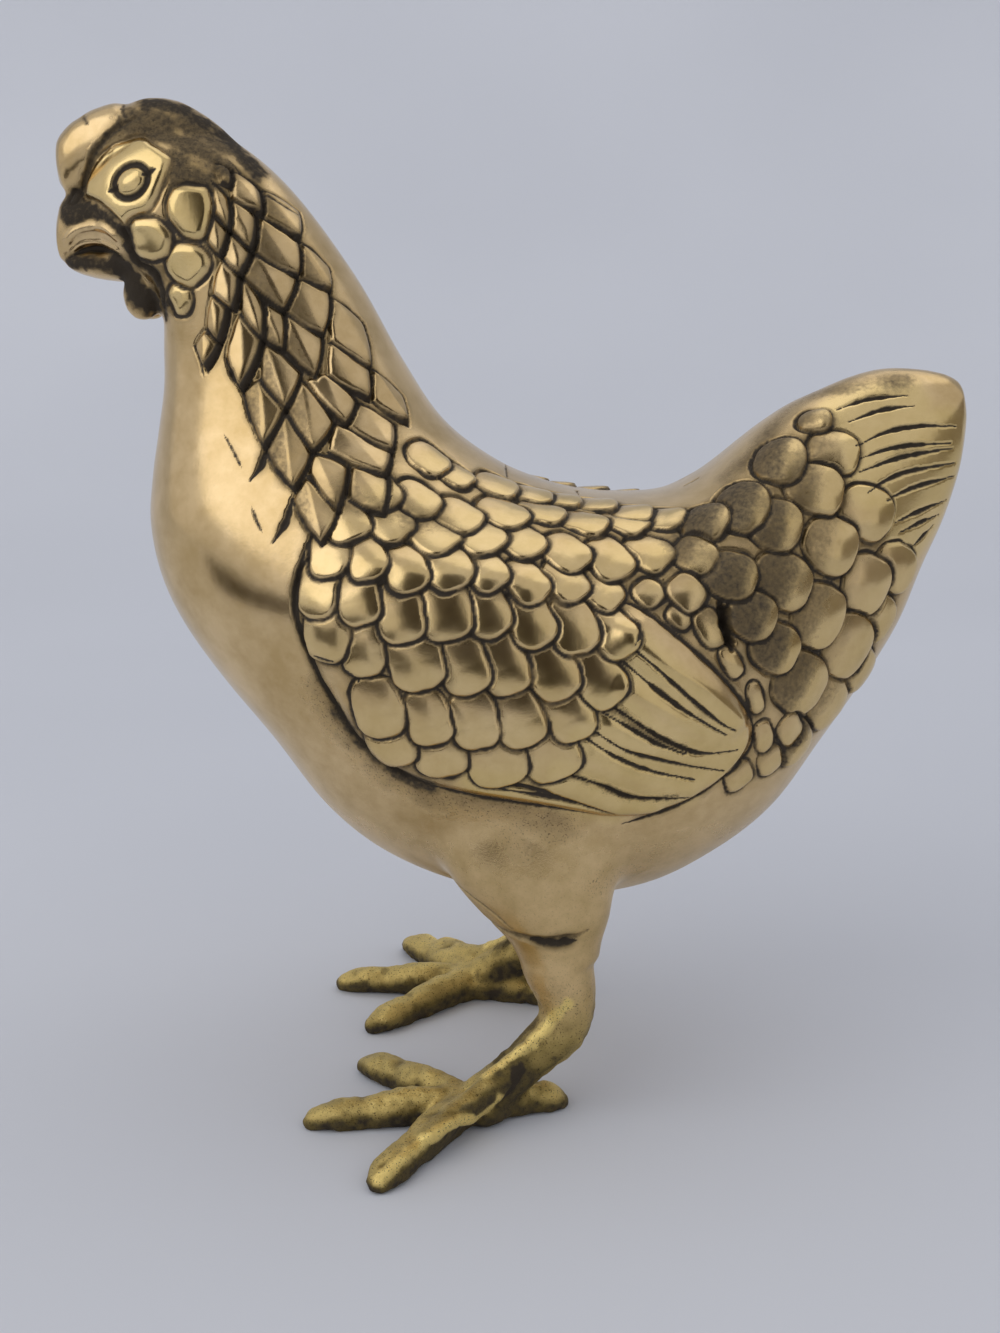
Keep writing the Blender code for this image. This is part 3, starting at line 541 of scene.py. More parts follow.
def to_path(points, path):
    """How far each point is from a path, and where along it."""
    nearest, at = np.full(len(points), np.inf), np.zeros(len(points))
    for i, (a, b) in enumerate(zip(path, path[1:])):
        along = b - a
        share = np.clip(((points - a) @ along) / max(along @ along, 1e-9), 0.0, 1.0)
        distance = np.linalg.norm(points - a - share[:, None] * along, axis=1)
        closer = distance < nearest
        nearest[closer] = distance[closer]
        at[closer] = (i + share[closer]) / (len(path) - 1)
    return nearest, at


def within(points, path, reach):
    """Which points are in the box round a path."""
    return ((points > path.min(axis=0) - reach) & (points < path.max(axis=0) + reach)).all(axis=1)


def path_distance(hen, guide, reach):
    """For the points within reach of a guide: which, how far, and where along it."""
    path = np.array([hen.place(*point) for point in through(guide, 8)])
    index = np.nonzero(within(hen.points, path, reach))[0]
    nearest, at = to_path(hen.points[index], path)
    kept = nearest < reach
    return index[kept], nearest[kept], at[kept]


def ring_distance(hen, outline, reach):
    """For the points near a rounded outline: which, and how far outside it, as seen from the side."""
    ring = through((*outline, outline[0]), 5)
    flank = hen.points[:, (0, 2)]
    index = np.nonzero(within(flank, ring, reach) & (hen.normals[:, 1] < 0.25))[0]
    x, z = flank[index].T
    inside = np.zeros(len(index), bool)
    for a, b in zip(ring, ring[1:]):
        if a[1] != b[1]:
            between = (a[1] > z) != (b[1] > z)
            inside ^= between & (x < a[0] + (z - a[1]) / (b[1] - a[1]) * (b[0] - a[0]))
    nearest, _ = to_path(flank[index], ring)
    return index, np.where(inside, -nearest, nearest)


def stroke(hen, guide, half, depth, dark=1.0, taper=0.2, thin=0.3):
    """A chased line along a guide, thinner towards its ends."""
    index, distance, at = path_distance(hen, guide, 2.5 * half)
    width = half * np.clip(np.minimum(at, 1.0 - at) / taper, thin, 1.0)
    width *= 1.0 + 0.3 * noise(hen.points[index], 1.6, 7)
    hen.sink(index, distance, width, depth * np.clip(width / half, 0.4, 1.0), dark)


def swell(hen, guide, reach, lift):
    """A soft rounded rib along a guide."""
    index, distance, at = path_distance(hen, guide, reach)
    ends = soft(np.minimum(at, 1.0 - at) / 0.15)
    hen.height[index] += lift * ends * soft(1.0 - distance / reach)


def stain(hen, guide, reach, dark, rough=1.0):
    """Dark rough marks within reach of a guide, speckled at its border: patina, and painted shade where a
    guide follows a recess or a shaded side.
    """
    index, distance, _ = path_distance(hen, guide, reach * 1.3)
    points = hen.points[index]
    cover = soft(1.3 - distance / reach + 0.35 * noise(points, 1.1, 8) + 0.25 * noise(points, 3.7, 9))
    at_least(hen.dark, index, dark * cover)
    at_least(hen.rough, index, rough * cover)


def press_outline(hen, outline, lift, slope, dark=1.0):
    """Raises what lies inside an outline, over what was worked there before."""
    index, distance = ring_distance(hen, outline, 4.0)
    distance = distance + 0.5 * WOBBLE * noise(hen.points[index], 2.2, 12)
    hen.press(index, distance, lift * soft(-distance / slope), dark=dark)
    hen.rough[index[distance < -0.3]] = 0.0


# Wing and tail
WING_OUTLINE = (
    (-46.5, 140), (-49.4, 129), (-48.6, 119), (-43.5, 108.5), (-36.5, 97), (-27, 89.5), (-14, 85),
    (4, 82), (22, 78.5), (34, 79.5), (44.5, 84), (51.5, 90), (54.6, 97), (52, 105), (46, 113),
    (38, 120), (28, 129), (10, 140), (-12, 147), (-36, 148),
)
BAND_GUIDE = ((22, 125.5), (30, 119.5), (38.5, 112.5), (46, 105), (51, 99))
PRIMARIES = (
    ((25.5, 119.5), (31, 115), (38, 108.5), (45.5, 102), (49.5, 99.5)),
    ((23.5, 116.5), (30, 111), (38, 104.8), (47.5, 98.5)),
    ((18.5, 108.5), (25, 104), (31.5, 99.5), (39, 95.5), (44, 94.2), (50.5, 94.2)),
    ((18, 106), (25, 101.8), (31.5, 97.8), (38, 94.8)),
    ((16.5, 101.5), (24, 96.5), (30.5, 94.2), (38.5, 91.8), (47.5, 89.2)),
    ((14.5, 100), (22, 95), (30.5, 91), (40.5, 88)),
    ((10, 91.5), (19, 88), (25.5, 84.8), (32.5, 83.8), (39.5, 83.2)),
    ((-5, 87.2), (3.5, 85.8), (12.5, 83.8), (22, 80.2)), ((-9, 89), (2.5, 87.6), (16.5, 82.2)),
)
ROUGH_QUILLS = (
    ((20, 107.4), (26, 102.8), (32, 98.8), (38, 96.2)), ((12, 91), (20, 87.4), (27, 84.6), (36, 84)),
)
PRIMARY_RIBS = (
    ((21, 112.5), (29, 107), (37, 101.2), (46, 96.6)),
    ((17.5, 103.6), (25, 99), (32, 95.8), (42, 92.6)), ((13, 96), (22, 91.4), (31, 87.4), (42, 86)),
    ((6, 89.6), (14, 87), (24, 82.6), (34, 81.2)),
)
# Rows: (guide, count, half width, tip, root, first and last turn of the free end)
COVERT_ROWS = (
    (((-28.5, 97), (-17, 93.8), (-4.5, 93.2), (7.5, 95)), 4, 6.6, 5.2, 9, -84, -72),
    (((-31.2, 104.6), (-21.6, 103.8), (-10.8, 102.8), (0.8, 103.2), (11.4, 104.6)), 5, 6.2, 6, 9, -84,
     -68),
    (((-43, 122), (-33, 118), (-23, 116.6), (-14, 115.8), (-4, 115.4), (7, 114.6), (18.5, 113.6)), 7,
     5.9, 6.6, 9.5, -88, -62),
    (((-44.5, 131), (-35.5, 129.6), (-26, 127.8), (-16, 127.4), (-6, 126.4), (4.6, 125), (13.4, 123.8),
     (22, 122.2)), 8, 5.5, 6, 8.5, -88, -56),
    (((-42, 138.6), (-33, 138), (-23, 137.4), (-15, 136.6), (-7, 135.2), (1.4, 133.8), (10.4, 133.6),
     (19.6, 130.4)), 8, 5.1, 5.1, 7.5, -84, -56),
)
SADDLE_ROWS = (
    (((-38, 146), (-28, 145.4), (-17, 144), (-8, 142.4), (0.6, 140.6), (12, 139), (22, 137.2),
     (31, 138)), 8, 5.5, 5.5, 7.5, -70, -52),
    (((-31, 152), (-21, 149.6), (-10.5, 147.4), (-2.5, 146.4), (6.5, 145.6), (16, 144.8), (25, 144.6),
     (35, 144.8)), 8, 5.1, 5.3, 7.5, -62, -44),
    (((-20, 158.2), (-12, 154), (-4, 151.6), (4, 149.8), (12, 148.4), (20, 147.6), (28, 147.4)), 7, 4.7,
     4.7, 6.5, -52, -36),
)
# Single feathers: (x, z, turn, half width, tip, root), those of the tail with the rear ones first
TAIL_FEATHERS = (
    (91, 132, -26, 5.6, 5.2, 8), (86, 120.5, -30, 6, 5.6, 8), (82, 108, -36, 6, 6, 8),
    (82.5, 146, -22, 6, 5.8, 8), (74.5, 160, -14, 5.2, 5, 7), (71, 167, -8, 3.4, 3, 5),
    (83, 129, -24, 6.8, 5.4, 8), (74.5, 100.5, -42, 6.4, 6.2, 8), (73.5, 139, -22, 6.4, 5.6, 8),
    (70, 152, -14, 5.8, 5.6, 8), (79, 114.5, -32, 7.4, 6.4, 9), (70.5, 123, -24, 7.2, 6, 8),
    (66, 92, -48, 5.6, 5.4, 7), (61.5, 132, -20, 6.2, 6, 8), (60, 144.5, -16, 6, 5, 7),
    (62, 158.4, -18, 6.2, 5, 7), (66.5, 107.5, -30, 7, 7, 9), (59.5, 117, -24, 5.6, 5.6, 7),
    (53.5, 125, -22, 5.4, 5.4, 6), (48.5, 134, -20, 5.4, 5.6, 7), (52, 148.5, -24, 6.6, 5.4, 7),
    (43.5, 145, -30, 5.4, 5, 6),
)
EDGE_FEATHERS = (
    (64.5, 96, -46, 4, 4.6, 5), (60, 88.5, -58, 3.8, 4.2, 5), (52, 85.8, -60, 4.2, 3.8, 5),
    (57.5, 95.6, -64, 2.8, 4.4, 5), (54.6, 105.8, -66, 2.3, 4.4, 4.6), (48.4, 115, -58, 2.5, 4.2, 4.4),
    (36.2, 125.4, -44, 2.6, 3.2, 3.4), (43.4, 122.8, -62, 3.4, 4.8, 5), (40.6, 138.4, -44, 5, 5, 6),
    (29.6, 130.6, -48, 3.6, 3.8, 4), (38.2, 130.6, -52, 4.4, 4.6, 5),
)
# The painted dark reflection over the root side of a tail feather, and its reach, by x
TAIL_DARK_REFLECTIONS = ((58, 68, 82), (0.64, 0.50, 0.18))
TAIL_DARK_REFLECTION_REACHES = ((50, 62, 85), (1.1, 0.7, 0.1))
# Neck feathers, each by its root, its rear corner, its tip and its front corner
HACKLE = (
    ((-68.5, 225), (-65, 223.5), (-65, 219.5), (-67.5, 220.5)),
    ((-65, 223.5), (-58.5, 219), (-58, 213.5), (-65, 217)),
    ((-69, 220.5), (-65, 217), (-65, 210), (-69, 214)),
    ((-65, 217), (-59, 213.5), (-60, 205.5), (-65, 210)),
    ((-69, 213.5), (-65, 209.5), (-67, 204), (-70.5, 207.5)),
    ((-58, 219), (-50.5, 214.5), (-50, 208), (-58, 213)),
    ((-58.5, 213), (-50, 207.5), (-50, 199.5), (-59.5, 205)),
    ((-49.5, 207.5), (-43.5, 202), (-43, 196.5), (-49.5, 199.5)),
    ((-65, 209.5), (-60, 205), (-62.5, 200), (-67, 204)),
    ((-59.5, 205), (-50, 199.5), (-53, 192), (-62.5, 200)),
    ((-50, 199.5), (-43, 196.5), (-44.5, 186.5), (-53, 192)),
    ((-53, 192), (-44.5, 186.5), (-46, 177.5), (-53, 183.5)),
    ((-43, 195.5), (-35.5, 189), (-34, 179), (-43, 185.5)),
    ((-43, 185.5), (-34, 179), (-34, 172), (-43.5, 178)),
    ((-33.5, 179), (-26.5, 172.5), (-25.5, 166.5), (-33.5, 172)),
    ((-44, 178.5), (-36.5, 172), (-39, 166.5), (-48.5, 177)),
    ((-37, 172), (-28, 166.5), (-28.5, 160.5), (-39, 166.5)),
    ((-67, 204), (-62.5, 200), (-64, 192.5), (-69.5, 196)),
    ((-69.5, 196), (-65.5, 193), (-67.5, 185), (-71, 188.5)),
    ((-71.5, 188), (-67.5, 185), (-71, 179), (-74, 184.5)),
    ((-62.5, 200), (-57.5, 194), (-57.5, 185.5), (-63, 192)),
    ((-57.5, 194), (-53, 192), (-53, 183.5), (-57.5, 185.5)),
    ((-63, 192), (-57.5, 185.5), (-62.5, 174.5), (-66.5, 182)),
    ((-57.5, 185.5), (-49, 178.5), (-52.5, 170.5), (-58.5, 177.5)),
    ((-58.5, 177.5), (-52.5, 170.5), (-57, 162), (-62.5, 174.5)),
    ((-52.5, 170.5), (-46.5, 161), (-50, 153), (-57, 161.5)),
    ((-49, 177), (-41.5, 167.5), (-46, 161), (-52.5, 170.5)),
    ((-41.5, 167.5), (-28.5, 160.5), (-30, 155.5), (-43, 161.5)),
    ((-46, 161), (-38, 158), (-40, 148.5), (-47, 156.5)),
    ((-37.5, 158), (-29, 155.5), (-30, 147.5), (-38, 151)),
    ((-47.5, 156), (-40, 148.5), (-43.5, 141.5), (-50.5, 151)),
)
NECK_STROKES = (
    ((-66, 226), (-58.5, 218.4), (-50.5, 213)), ((-67, 165), (-64.8, 161.5), (-62.4, 157.4)),
    ((-60, 149.5), (-58.8, 146.4), (-57.3, 143.8)), ((-74, 184.5), (-72.8, 181), (-72, 177.5)),
)
NECK_SHADOWS = (
    ((-66.4, 181.5), (-64.8, 178), (-62.8, 174.8)), ((-57, 162.5), (-57.8, 158.6), (-60.5, 155)),
    ((-50.6, 151.5), (-51.8, 146.6), (-54.8, 141.8)),
)
LEADING_EDGE = (
    (-47, 142), (-49.6, 133), (-49.8, 126), (-47.4, 118), (-44.5, 110.5), (-40.7, 103.6), (-36.1, 96.6),
    (-28.1, 90), (-20, 86.6),
)
LOWER_EDGE = ((-20, 86.6), (-8.5, 84.2), (5, 82.2), (18.8, 79.6))
TIP_EDGE = ((24, 76.4), (31, 78.4), (39, 81.2), (46, 85.2), (51.5, 89.6), (54.6, 94.4), (54.8, 99))
BAND_EDGE = (
    (21.5, 129.5), (27.5, 127.6), (33, 123.8), (39, 118.8), (45, 113.2), (50, 107.4), (53.4, 102.2),
    (54.8, 97),
)
SPOON = ((25, 125.6), (26.6, 124.8), (27, 122.8), (26, 120.6))
CORNER_STROKES = (((-38.6, 114.6), (-36.6, 113.6), (-35.2, 111)), ((-45, 117.4), (-40.6, 116.6)))
TAIL_RAYS = (
    ((75.6, 169.6), (83, 172), (92.6, 172.8)), ((77.8, 166.8), (86, 169.6), (94, 170.4)),
    ((78.6, 161), (87, 164.6), (96, 165.8), (105, 165.4)), ((80.6, 158.8), (90, 161.2), (103.4, 161.6)),
    ((79.8, 155.6), (91, 158.8), (104, 160.4)), ((81.4, 150.8), (90.6, 155), (105.2, 156.8)),
    ((86, 148.8), (95, 151.8), (105.2, 153.6)), ((89.4, 143.6), (96, 145.8), (103.6, 147.8)),
    ((90.4, 141), (96, 142.8), (101.8, 144.4)), ((94.6, 137.2), (97.4, 139.2), (100.4, 141.8)),
)
# Broad painted shade, standing for dark reflections on the tail and the front of the wing: (guide, reach)
DEEP_SHADE = (
    (((38, 141), (47, 134), (54, 139), (60, 148), (68, 158), (74, 165)), 13),
    (((46, 126), (54, 128), (62, 134)), 11),
    (((50, 155), (56, 160), (62, 166.5), (70, 171.5), (80, 174.5), (92, 176)), 7.5),
    (((-39, 152), (-28, 148), (-17, 145)), 9),
)
SLIT = ((45.9, 128), (47, 123.2), (48.4, 118.2))
BACK_DENTS = (
    ((-2.6, 155.6), (-2.2, 153.6)), ((14.4, 151.2), (14.8, 149.2)), ((39.6, 152.4), (44, 153.8)),
)
WING_FOOT = ((-45, 107), (-38, 95.5), (-28, 87), (-14, 82), (0, 79.5), (10, 77))

# Head
FACE_PATCH = (
    (-100.4, 217.8), (-100, 221.4), (-98, 225.4), (-93.9, 228.8), (-89.2, 230.8), (-85.7, 231.2),
    (-82.6, 229.6), (-79.2, 227.2), (-78.2, 225.4), (-78.8, 222.6), (-80.2, 219.6), (-81.4, 216.8),
    (-83.6, 214.2), (-87.6, 213), (-89.6, 211.2), (-91.5, 212.8), (-93.9, 214.8), (-96.6, 216.5),
)
COMB_GROOVE = (
    (-101.4, 219.6), (-100.4, 222), (-98.9, 225), (-96.8, 228.4), (-94, 231.4), (-90.8, 233.8),
    (-87.6, 235.4),
)
CROWN_ROUGH = (
    ((-88, 235.2), (-82, 234.8), (-75, 233), (-68, 229.4)),
    ((-84, 232.6), (-77.6, 230.4), (-71, 227), (-66.6, 223.6)),
    ((-78, 226), (-75.4, 222), (-70, 221.4)),
)
CROWN_TOP = ((-85, 239), (-77, 237.5), (-70, 233.5), (-64.5, 228.8), (-60, 223.6))
# The throat between the lobes, darkened with painted shade, by (x, y, z)
THROAT = ((-93.3, -6.3, 203.4), (-91.6, -7.2, 200.4), (-89.3, -8, 196.4), (-86.3, -5.6, 194.8))
COMB_NOTCHES = (((-100.6, 236.4), (-98.6, 234)), ((-91.2, 239.6), (-90.4, 236.4), (-89.2, 235.4)))
LIP = ((-106.4, 206.6), (-103.4, 210), (-99.4, 211.4), (-95.6, 211.2), (-93, 209.8), (-91.2, 208))
LOWER_LIP = ((-106, 205), (-101.8, 207.6), (-97.6, 208), (-93.8, 206.8), (-91.4, 205.4))
BEAK_TOP = (
    (-102.6, 220.4), (-99.6, 217.4), (-95.6, 215.4), (-91.6, 212.2), (-91, 209.6), (-95, 212.6),
    (-99.4, 212.8), (-104, 211.6), (-106.4, 214), (-105.4, 218.4),
)
NOSTRIL = (-102.8, 218, 80, 1.3, 2, 2)
MOUTH = ((-105.6, 204.4), (-101.6, 206), (-97.4, 206.4), (-93.6, 205.2), (-91.4, 203.8))
# Painted shade and roughness under the lower beak
JAW_SHADE_AND_ROUGH = ((-105.6, 203.4), (-100, 203.2), (-93.4, 202))
# The valley between beak and lobes: a groove, darkened with painted shade
VALLEY = ((-90.2, 210.4), (-89, 206.4), (-87.4, 203), (-83.6, 200.6), (-82, 196.8), (-82.2, 192))
CELLS = (
    ((-79.8, 193.8), (-80.6, 196.6), (-78.4, 199), (-75.2, 198.2), (-73.8, 194.8), (-75.4, 191.4),
     (-78.4, 191)),
    ((-80.8, 203.4), (-80.2, 206.2), (-77, 207.6), (-72.8, 207.2), (-69.6, 204.6), (-69.6, 201),
     (-73.6, 197.4), (-77, 197.8), (-80, 200.2)),
    ((-78, 219.6), (-75.6, 220.4), (-70.2, 219.8), (-68.6, 215.4), (-69.4, 210.8), (-71.4, 207.8),
     (-75.4, 208.2), (-77.8, 210.6), (-79.4, 213.4), (-79.4, 216.6)),
    ((-88.8, 211.2), (-87.4, 212.8), (-83.2, 213.2), (-80, 211.8), (-78, 209.4), (-78.2, 206.8),
     (-79.6, 204.2), (-83, 203.2), (-86.4, 203.8), (-88.4, 206.4)),
)
EYE_PLACE, EYE_TURN = (-87.6, 220.9), 22
EYE_BALL = (3.0, 3.7)           # half height and half width
EYE_GROOVE = (1.25, 1.1)        # half width and depth of the ring round it
EYE_CORNERS = (((-92.8, 218.7), (-90.4, 219.8)), ((-84.6, 222.2), (-81.8, 223.3)))

# Legs
LEG_ROUGH_Z, LEG_EASE = 40.0, 12.0      # where the cast surface starts, and over what height
TOES_Z, TOES_EASE = 15.0, 6.0
LUMP_HEIGHT = 0.5
SHIN_RIDGE = (
    (12, -36.5, 31), (4, -37.2, 21.6), (-2.1, -37.6, 16.1), (-5.6, -40, 10.8), (-11.4, -44.5, 7.6),
    (-18.4, -54.6, 7.2), (-25.6, -64.8, 6.6), (-31, -70, 4.4),
)
# Painted shadow where the shin comes down over the hind toe, and painted shade down the shin's front
ANKLE_SHADOW = ((0, -38.8, 14.5), (-2.6, -39.9, 10.2), (-4.2, -41.6, 7.6))
SHIN_FRONT_SHADE = ((5, -33, 25), (-1, -32.5, 18), (-4.6, -34.5, 14.5))
THIGH_FOLD = ((-14, 55), (-9, 51.4), (-4.5, 49.4), (1, 48.4), (7, 48.2), (13, 48.8), (17, 50))
FOLD_SHADOW = ((3, 47.8), (9, 47.2), (14, 47.8))
THIGH_LINES = (
    ((-17, 61), (-11.1, 57.7), (-6, 54.5), (-1.2, 50.3)), ((-19, 58.5), (-13, 54.6), (-8.8, 51.4)),
)
BELLY_STAINS = (((-3, 75.4), (1, 70.8)), ((18, 61.6), (30, 61)))


def raise_wing(hen):
    """The wing stands proud of the flank, steep at its front and lower edge and easing out above."""
    index, distance = ring_distance(hen, WING_OUTLINE, 4.0)
    slope = np.interp(hen.points[index, 2], (100.0, 145.0), (3.2, 16.0))
    hen.height[index] += 2.2 * soft(-distance / slope)
    swell(hen, BAND_GUIDE, 8.0, 1.5)
    for rib in PRIMARY_RIBS:
        swell(hen, rib, 4.0, 0.7)


def work_plumage(hen):
    # The front tail feathers carry a painted dark reflection over their root side.
    for x, z, turn, half_width, tip, root in TAIL_FEATHERS:
        feather(hen, x, z, turn, 1.12 * half_width, 1.1 * tip, 1.1 * root, power=2.4, crown=1.8,
                rise=0.9, veil=np.interp(x, *TAIL_DARK_REFLECTIONS), reach=np.interp(x, *TAIL_DARK_REFLECTION_REACHES))
    for guide in TAIL_RAYS:
        stroke(hen, guide, 0.85, 0.9, taper=0.4)
    for guide in PRIMARIES:
        stroke(hen, guide, 0.8, 0.9, taper=0.4, thin=0.5)
    for guide in ROUGH_QUILLS:
        stain(hen, guide, 1.5, 0.5)
    for guide in PRIMARIES + TAIL_RAYS:
        index, distance, _ = path_distance(hen, guide, 7.0)
        at_least(hen.worn, index, RIDGE_WEAR * soft(1.4 - distance / 5.0))
    for row in EDGE_FEATHERS:
        feather(hen, *row, crown=0.7, rise=0.3)
    for guide in (TIP_EDGE, BAND_EDGE):
        stroke(hen, guide, 0.8, 0.8, taper=0.15)
    for row in COVERT_ROWS + SADDLE_ROWS:
        row_of_feathers(hen, *row)
    stroke(hen, SPOON, 0.7, 0.6)
    for guide in CORNER_STROKES:
        stroke(hen, guide, 0.45, 0.3)
    stroke(hen, LEADING_EDGE, 1.15, 1.2, taper=0.1)
    stroke(hen, LOWER_EDGE, 0.8, 0.5)
    stain(hen, LEADING_EDGE[5:], 3.0, 0.75)
    stain(hen, WING_FOOT, 5.0, 0.28, rough=0.9)
    for corners in sorted(HACKLE, key=lambda corners: corners[0][1]):
        kite(hen, corners)
    # Painted shade: broad dark reflections on the tail and the front of the wing.
    for guide, reach in DEEP_SHADE:
        index, distance, _ = path_distance(hen, guide, reach)
        uneven = 1.0 + 0.4 * noise(hen.points[index], 6.0, 15)
        at_least(hen.dark, index, 0.42 * soft(1.0 - distance / reach) * uneven)
    for guide in NECK_SHADOWS:
        stroke(hen, guide, 1.1, 0.9, taper=0.4)
    for guide in NECK_STROKES + BACK_DENTS:
        stroke(hen, guide, 0.45, 0.3, dark=0.8)


def eye_ball(hen):
    """A smooth almond ball in a broad dark ring."""
    place, normal = hen.spot(*EYE_PLACE)
    half_height, half_width = EYE_BALL
    half, depth = EYE_GROOVE
    index, u, v = hen.round_about(place, normal, pointing(EYE_TURN, normal), 3.0 * half_width)
    _, edge = oval_edge(u, v, u / half_height, v / half_width, 2.0)
    off_ring = np.abs(edge - half / 2) / half
    hen.height[index] += 0.6 * soft(-edge / half_height) - depth * soft(1.0 - off_ring)
    at_least(hen.dark, index, soft(1.3 - off_ring / 0.8))


def work_head(hen):
    for guide in CROWN_ROUGH:
        stain(hen, guide, 4.6, 0.62)
    stain(hen, CROWN_TOP, 3.8, 0.8)
    for outline in CELLS:
        press_outline(hen, outline, 0.8, 2.2)
        index, distance = ring_distance(hen, outline, 1.0)
        at_least(hen.dark, index, 0.2 * soft(-distance / 1.5))
    # Painted shade: the valley between beak and lobes, the throat between the lobes and the underside of
    # the lower beak are stained dark.
    stain(hen, VALLEY, 2.4, 1.0)
    stroke(hen, VALLEY, 1.5, 1.6, taper=0.1, thin=0.7)
    stain(hen, THROAT, 3.6, 1.0)
    stain(hen, JAW_SHADE_AND_ROUGH, 2.4, 0.8)
    index, distance = ring_distance(hen, BEAK_TOP, 2.0)
    cover = soft(0.6 - distance / 1.2 + 0.4 * noise(hen.points[index], 1.1, 21))
    at_least(hen.dark, index, 0.8 * cover)
    at_least(hen.rough, index, cover)
    press_outline(hen, FACE_PATCH, 0.8, 1.8, dark=0.6)
    stroke(hen, COMB_GROOVE, 0.9, 0.7, dark=0.7, taper=0.1, thin=0.7)
    stain(hen, COMB_GROOVE, 1.3, 0.7)
    for guide in COMB_NOTCHES:
        stroke(hen, guide, 0.8, 0.3, dark=0.7)
    swell(hen, LIP, 1.6, 1.0)
    swell(hen, LOWER_LIP, 1.0, 0.5)
    index, distance, _ = path_distance(hen, LIP, 1.1)
    for values in (hen.dark, hen.rough):
        values[index] *= 1.0 - soft(1.6 - distance / 0.7)
    stroke(hen, MOUTH, 0.9, 1.0)
    feather(hen, *NOSTRIL, crown=0.0, rise=0.0)
    x, z = NOSTRIL[:2]
    stain(hen, ((x, z - 1.0), (x, z + 1.0)), 1.6, 1.0)
    for corner in EYE_CORNERS:
        stroke(hen, corner, 0.9, 0.6, thin=0.5)
    for outline in (FACE_PATCH, *CELLS):
        index, distance = ring_distance(hen, outline, 1.0)
        at_least(hen.worn, index, RIDGE_WEAR * soft(-distance / 1.5))
    eye_ball(hen)


def roughen_legs(hen):
    """The shins and feet as cast: lumpy, dark in their hollows, with painted shade on the toes' sides,
    behind the shin's ridge, above the hind toe and down the shin's front.
    """
    points, upward = hen.points, hen.normals[:, 2]
    bare = soft((LEG_ROUGH_Z - points[:, 2]) / LEG_EASE)
    toes = soft((TOES_Z - points[:, 2]) / TOES_EASE)
    lumps = noise(points, 4.2, 31) * 0.6 + noise(points, 1.7, 32) * 0.4
    uneven = 0.3 * noise(points, 1.3, 33)
    on_shin = 0.1 - 0.5 * lumps - uneven
    # Painted shade: the toes darker on their sides than on their tops.
    on_toes = 0.6 * soft(0.95 - 1.25 * upward) - 0.3 * lumps - uneven
    stains_and_shade = (1.0 - toes) * on_shin + toes * on_toes
    hen.height += LUMP_HEIGHT * bare * lumps
    at_least(hen.dark, ..., bare * np.clip(stains_and_shade, 0.0, 0.85))
    at_least(hen.rough, ..., 0.6 * bare)
    hen.worn += 0.45 * toes * soft(2.0 * upward - 0.8) * soft(0.6 + lumps)
    swell(hen, SHIN_RIDGE, 2.6, 0.8)
    index, distance, _ = path_distance(hen, SHIN_RIDGE, 2.4)
    ridge = soft(1.5 - distance / 1.4 + 0.4 * noise(points[index], 1.5, 34))
    at_least(hen.worn, index, ridge)
    hen.dark[index] *= 1.0 - ridge
    # Painted shade on the rear side, behind the ridge and low down.
    index, distance, _ = path_distance(hen, SHIN_RIDGE, 8.0)
    rearward = 1.6 * hen.normals[index, 0] + 0.3 * noise(points[index], 2.0, 35)
    rear = soft(distance - 1.6) * soft(rearward) * soft((25.0 - points[index, 2]) / 8.0)
    at_least(hen.dark, index, 0.6 * rear)
    # Painted shadow above the hind toe, and painted shade down the shin's front.
    stain(hen, ANKLE_SHADOW, 2.2, 0.95)
    stain(hen, SHIN_FRONT_SHADE, 2.0, 0.5)


def work_legs(hen):
    stroke(hen, THIGH_FOLD, 1.6, 0.9, dark=0.5)
    stroke(hen, FOLD_SHADOW, 1.2, 1.2)
    for guide in THIGH_LINES:
        stroke(hen, guide, 0.6, 0.4, dark=0.5, thin=0.5)
    for guide in BELLY_STAINS:
        stain(hen, guide, 3.0, 0.06, rough=0.6)


# From satin to raw brass: (height where each stage starts, height that it takes)
CAST_STAGES = ((92.0, 46.0), (34.0, 14.0))


def store(mesh, name, values):
    """Keeps a value or a vector for each point of the mesh."""
    kind, key = ("FLOAT", "value") if values.ndim == 1 else ("FLOAT_VECTOR", "vector")
    attribute = mesh.attributes.get(name) or mesh.attributes.new(name, kind, "POINT")
    attribute.data.foreach_set(key, values.astype(np.float32).ravel())


def finished_half(skin, hen):
    """The left half with its relief, its patina and painted shade, and the normals that it has as one
    skin.
    """
    mesh = skin.data.copy()
    points = hen.points + hen.normals * hen.height[:, None]
    points[:, 2] = np.maximum(points[:, 2], 0.0)
    write_points(mesh, points)
    worked = np.stack((hen.dark, hen.height), axis=1)
    haze, level = smoothed(mesh, worked, 12, 0.9, 0.9).T
    hollow = np.clip((level - hen.height) / HOLLOW_DEPTH, 0.0, 1.0)
    haze = np.clip(1.4 * haze + 0.5 * hollow, 0.0, 1.0)
    cast = sum(np.clip((start - points[:, 2]) / run, 0.0, 1.0) for start, run in CAST_STAGES)
    for name, values in (("dark", hen.dark), ("haze", haze), ("rough", hen.rough), ("worn", hen.worn),
                         ("cast", cast), ("facing", outward(mesh, points))):
        store(mesh, name, values)
    return mesh


def mirrored(mesh):
    copy = mesh.copy()
    copy.transform(Matrix.Diagonal((1.0, -1.0, 1.0, 1.0)))
    copy.flip_normals()
    store(copy, "facing", read(copy.attributes["facing"].data, "vector") * (1.0, -1.0, 1.0))
    return copy


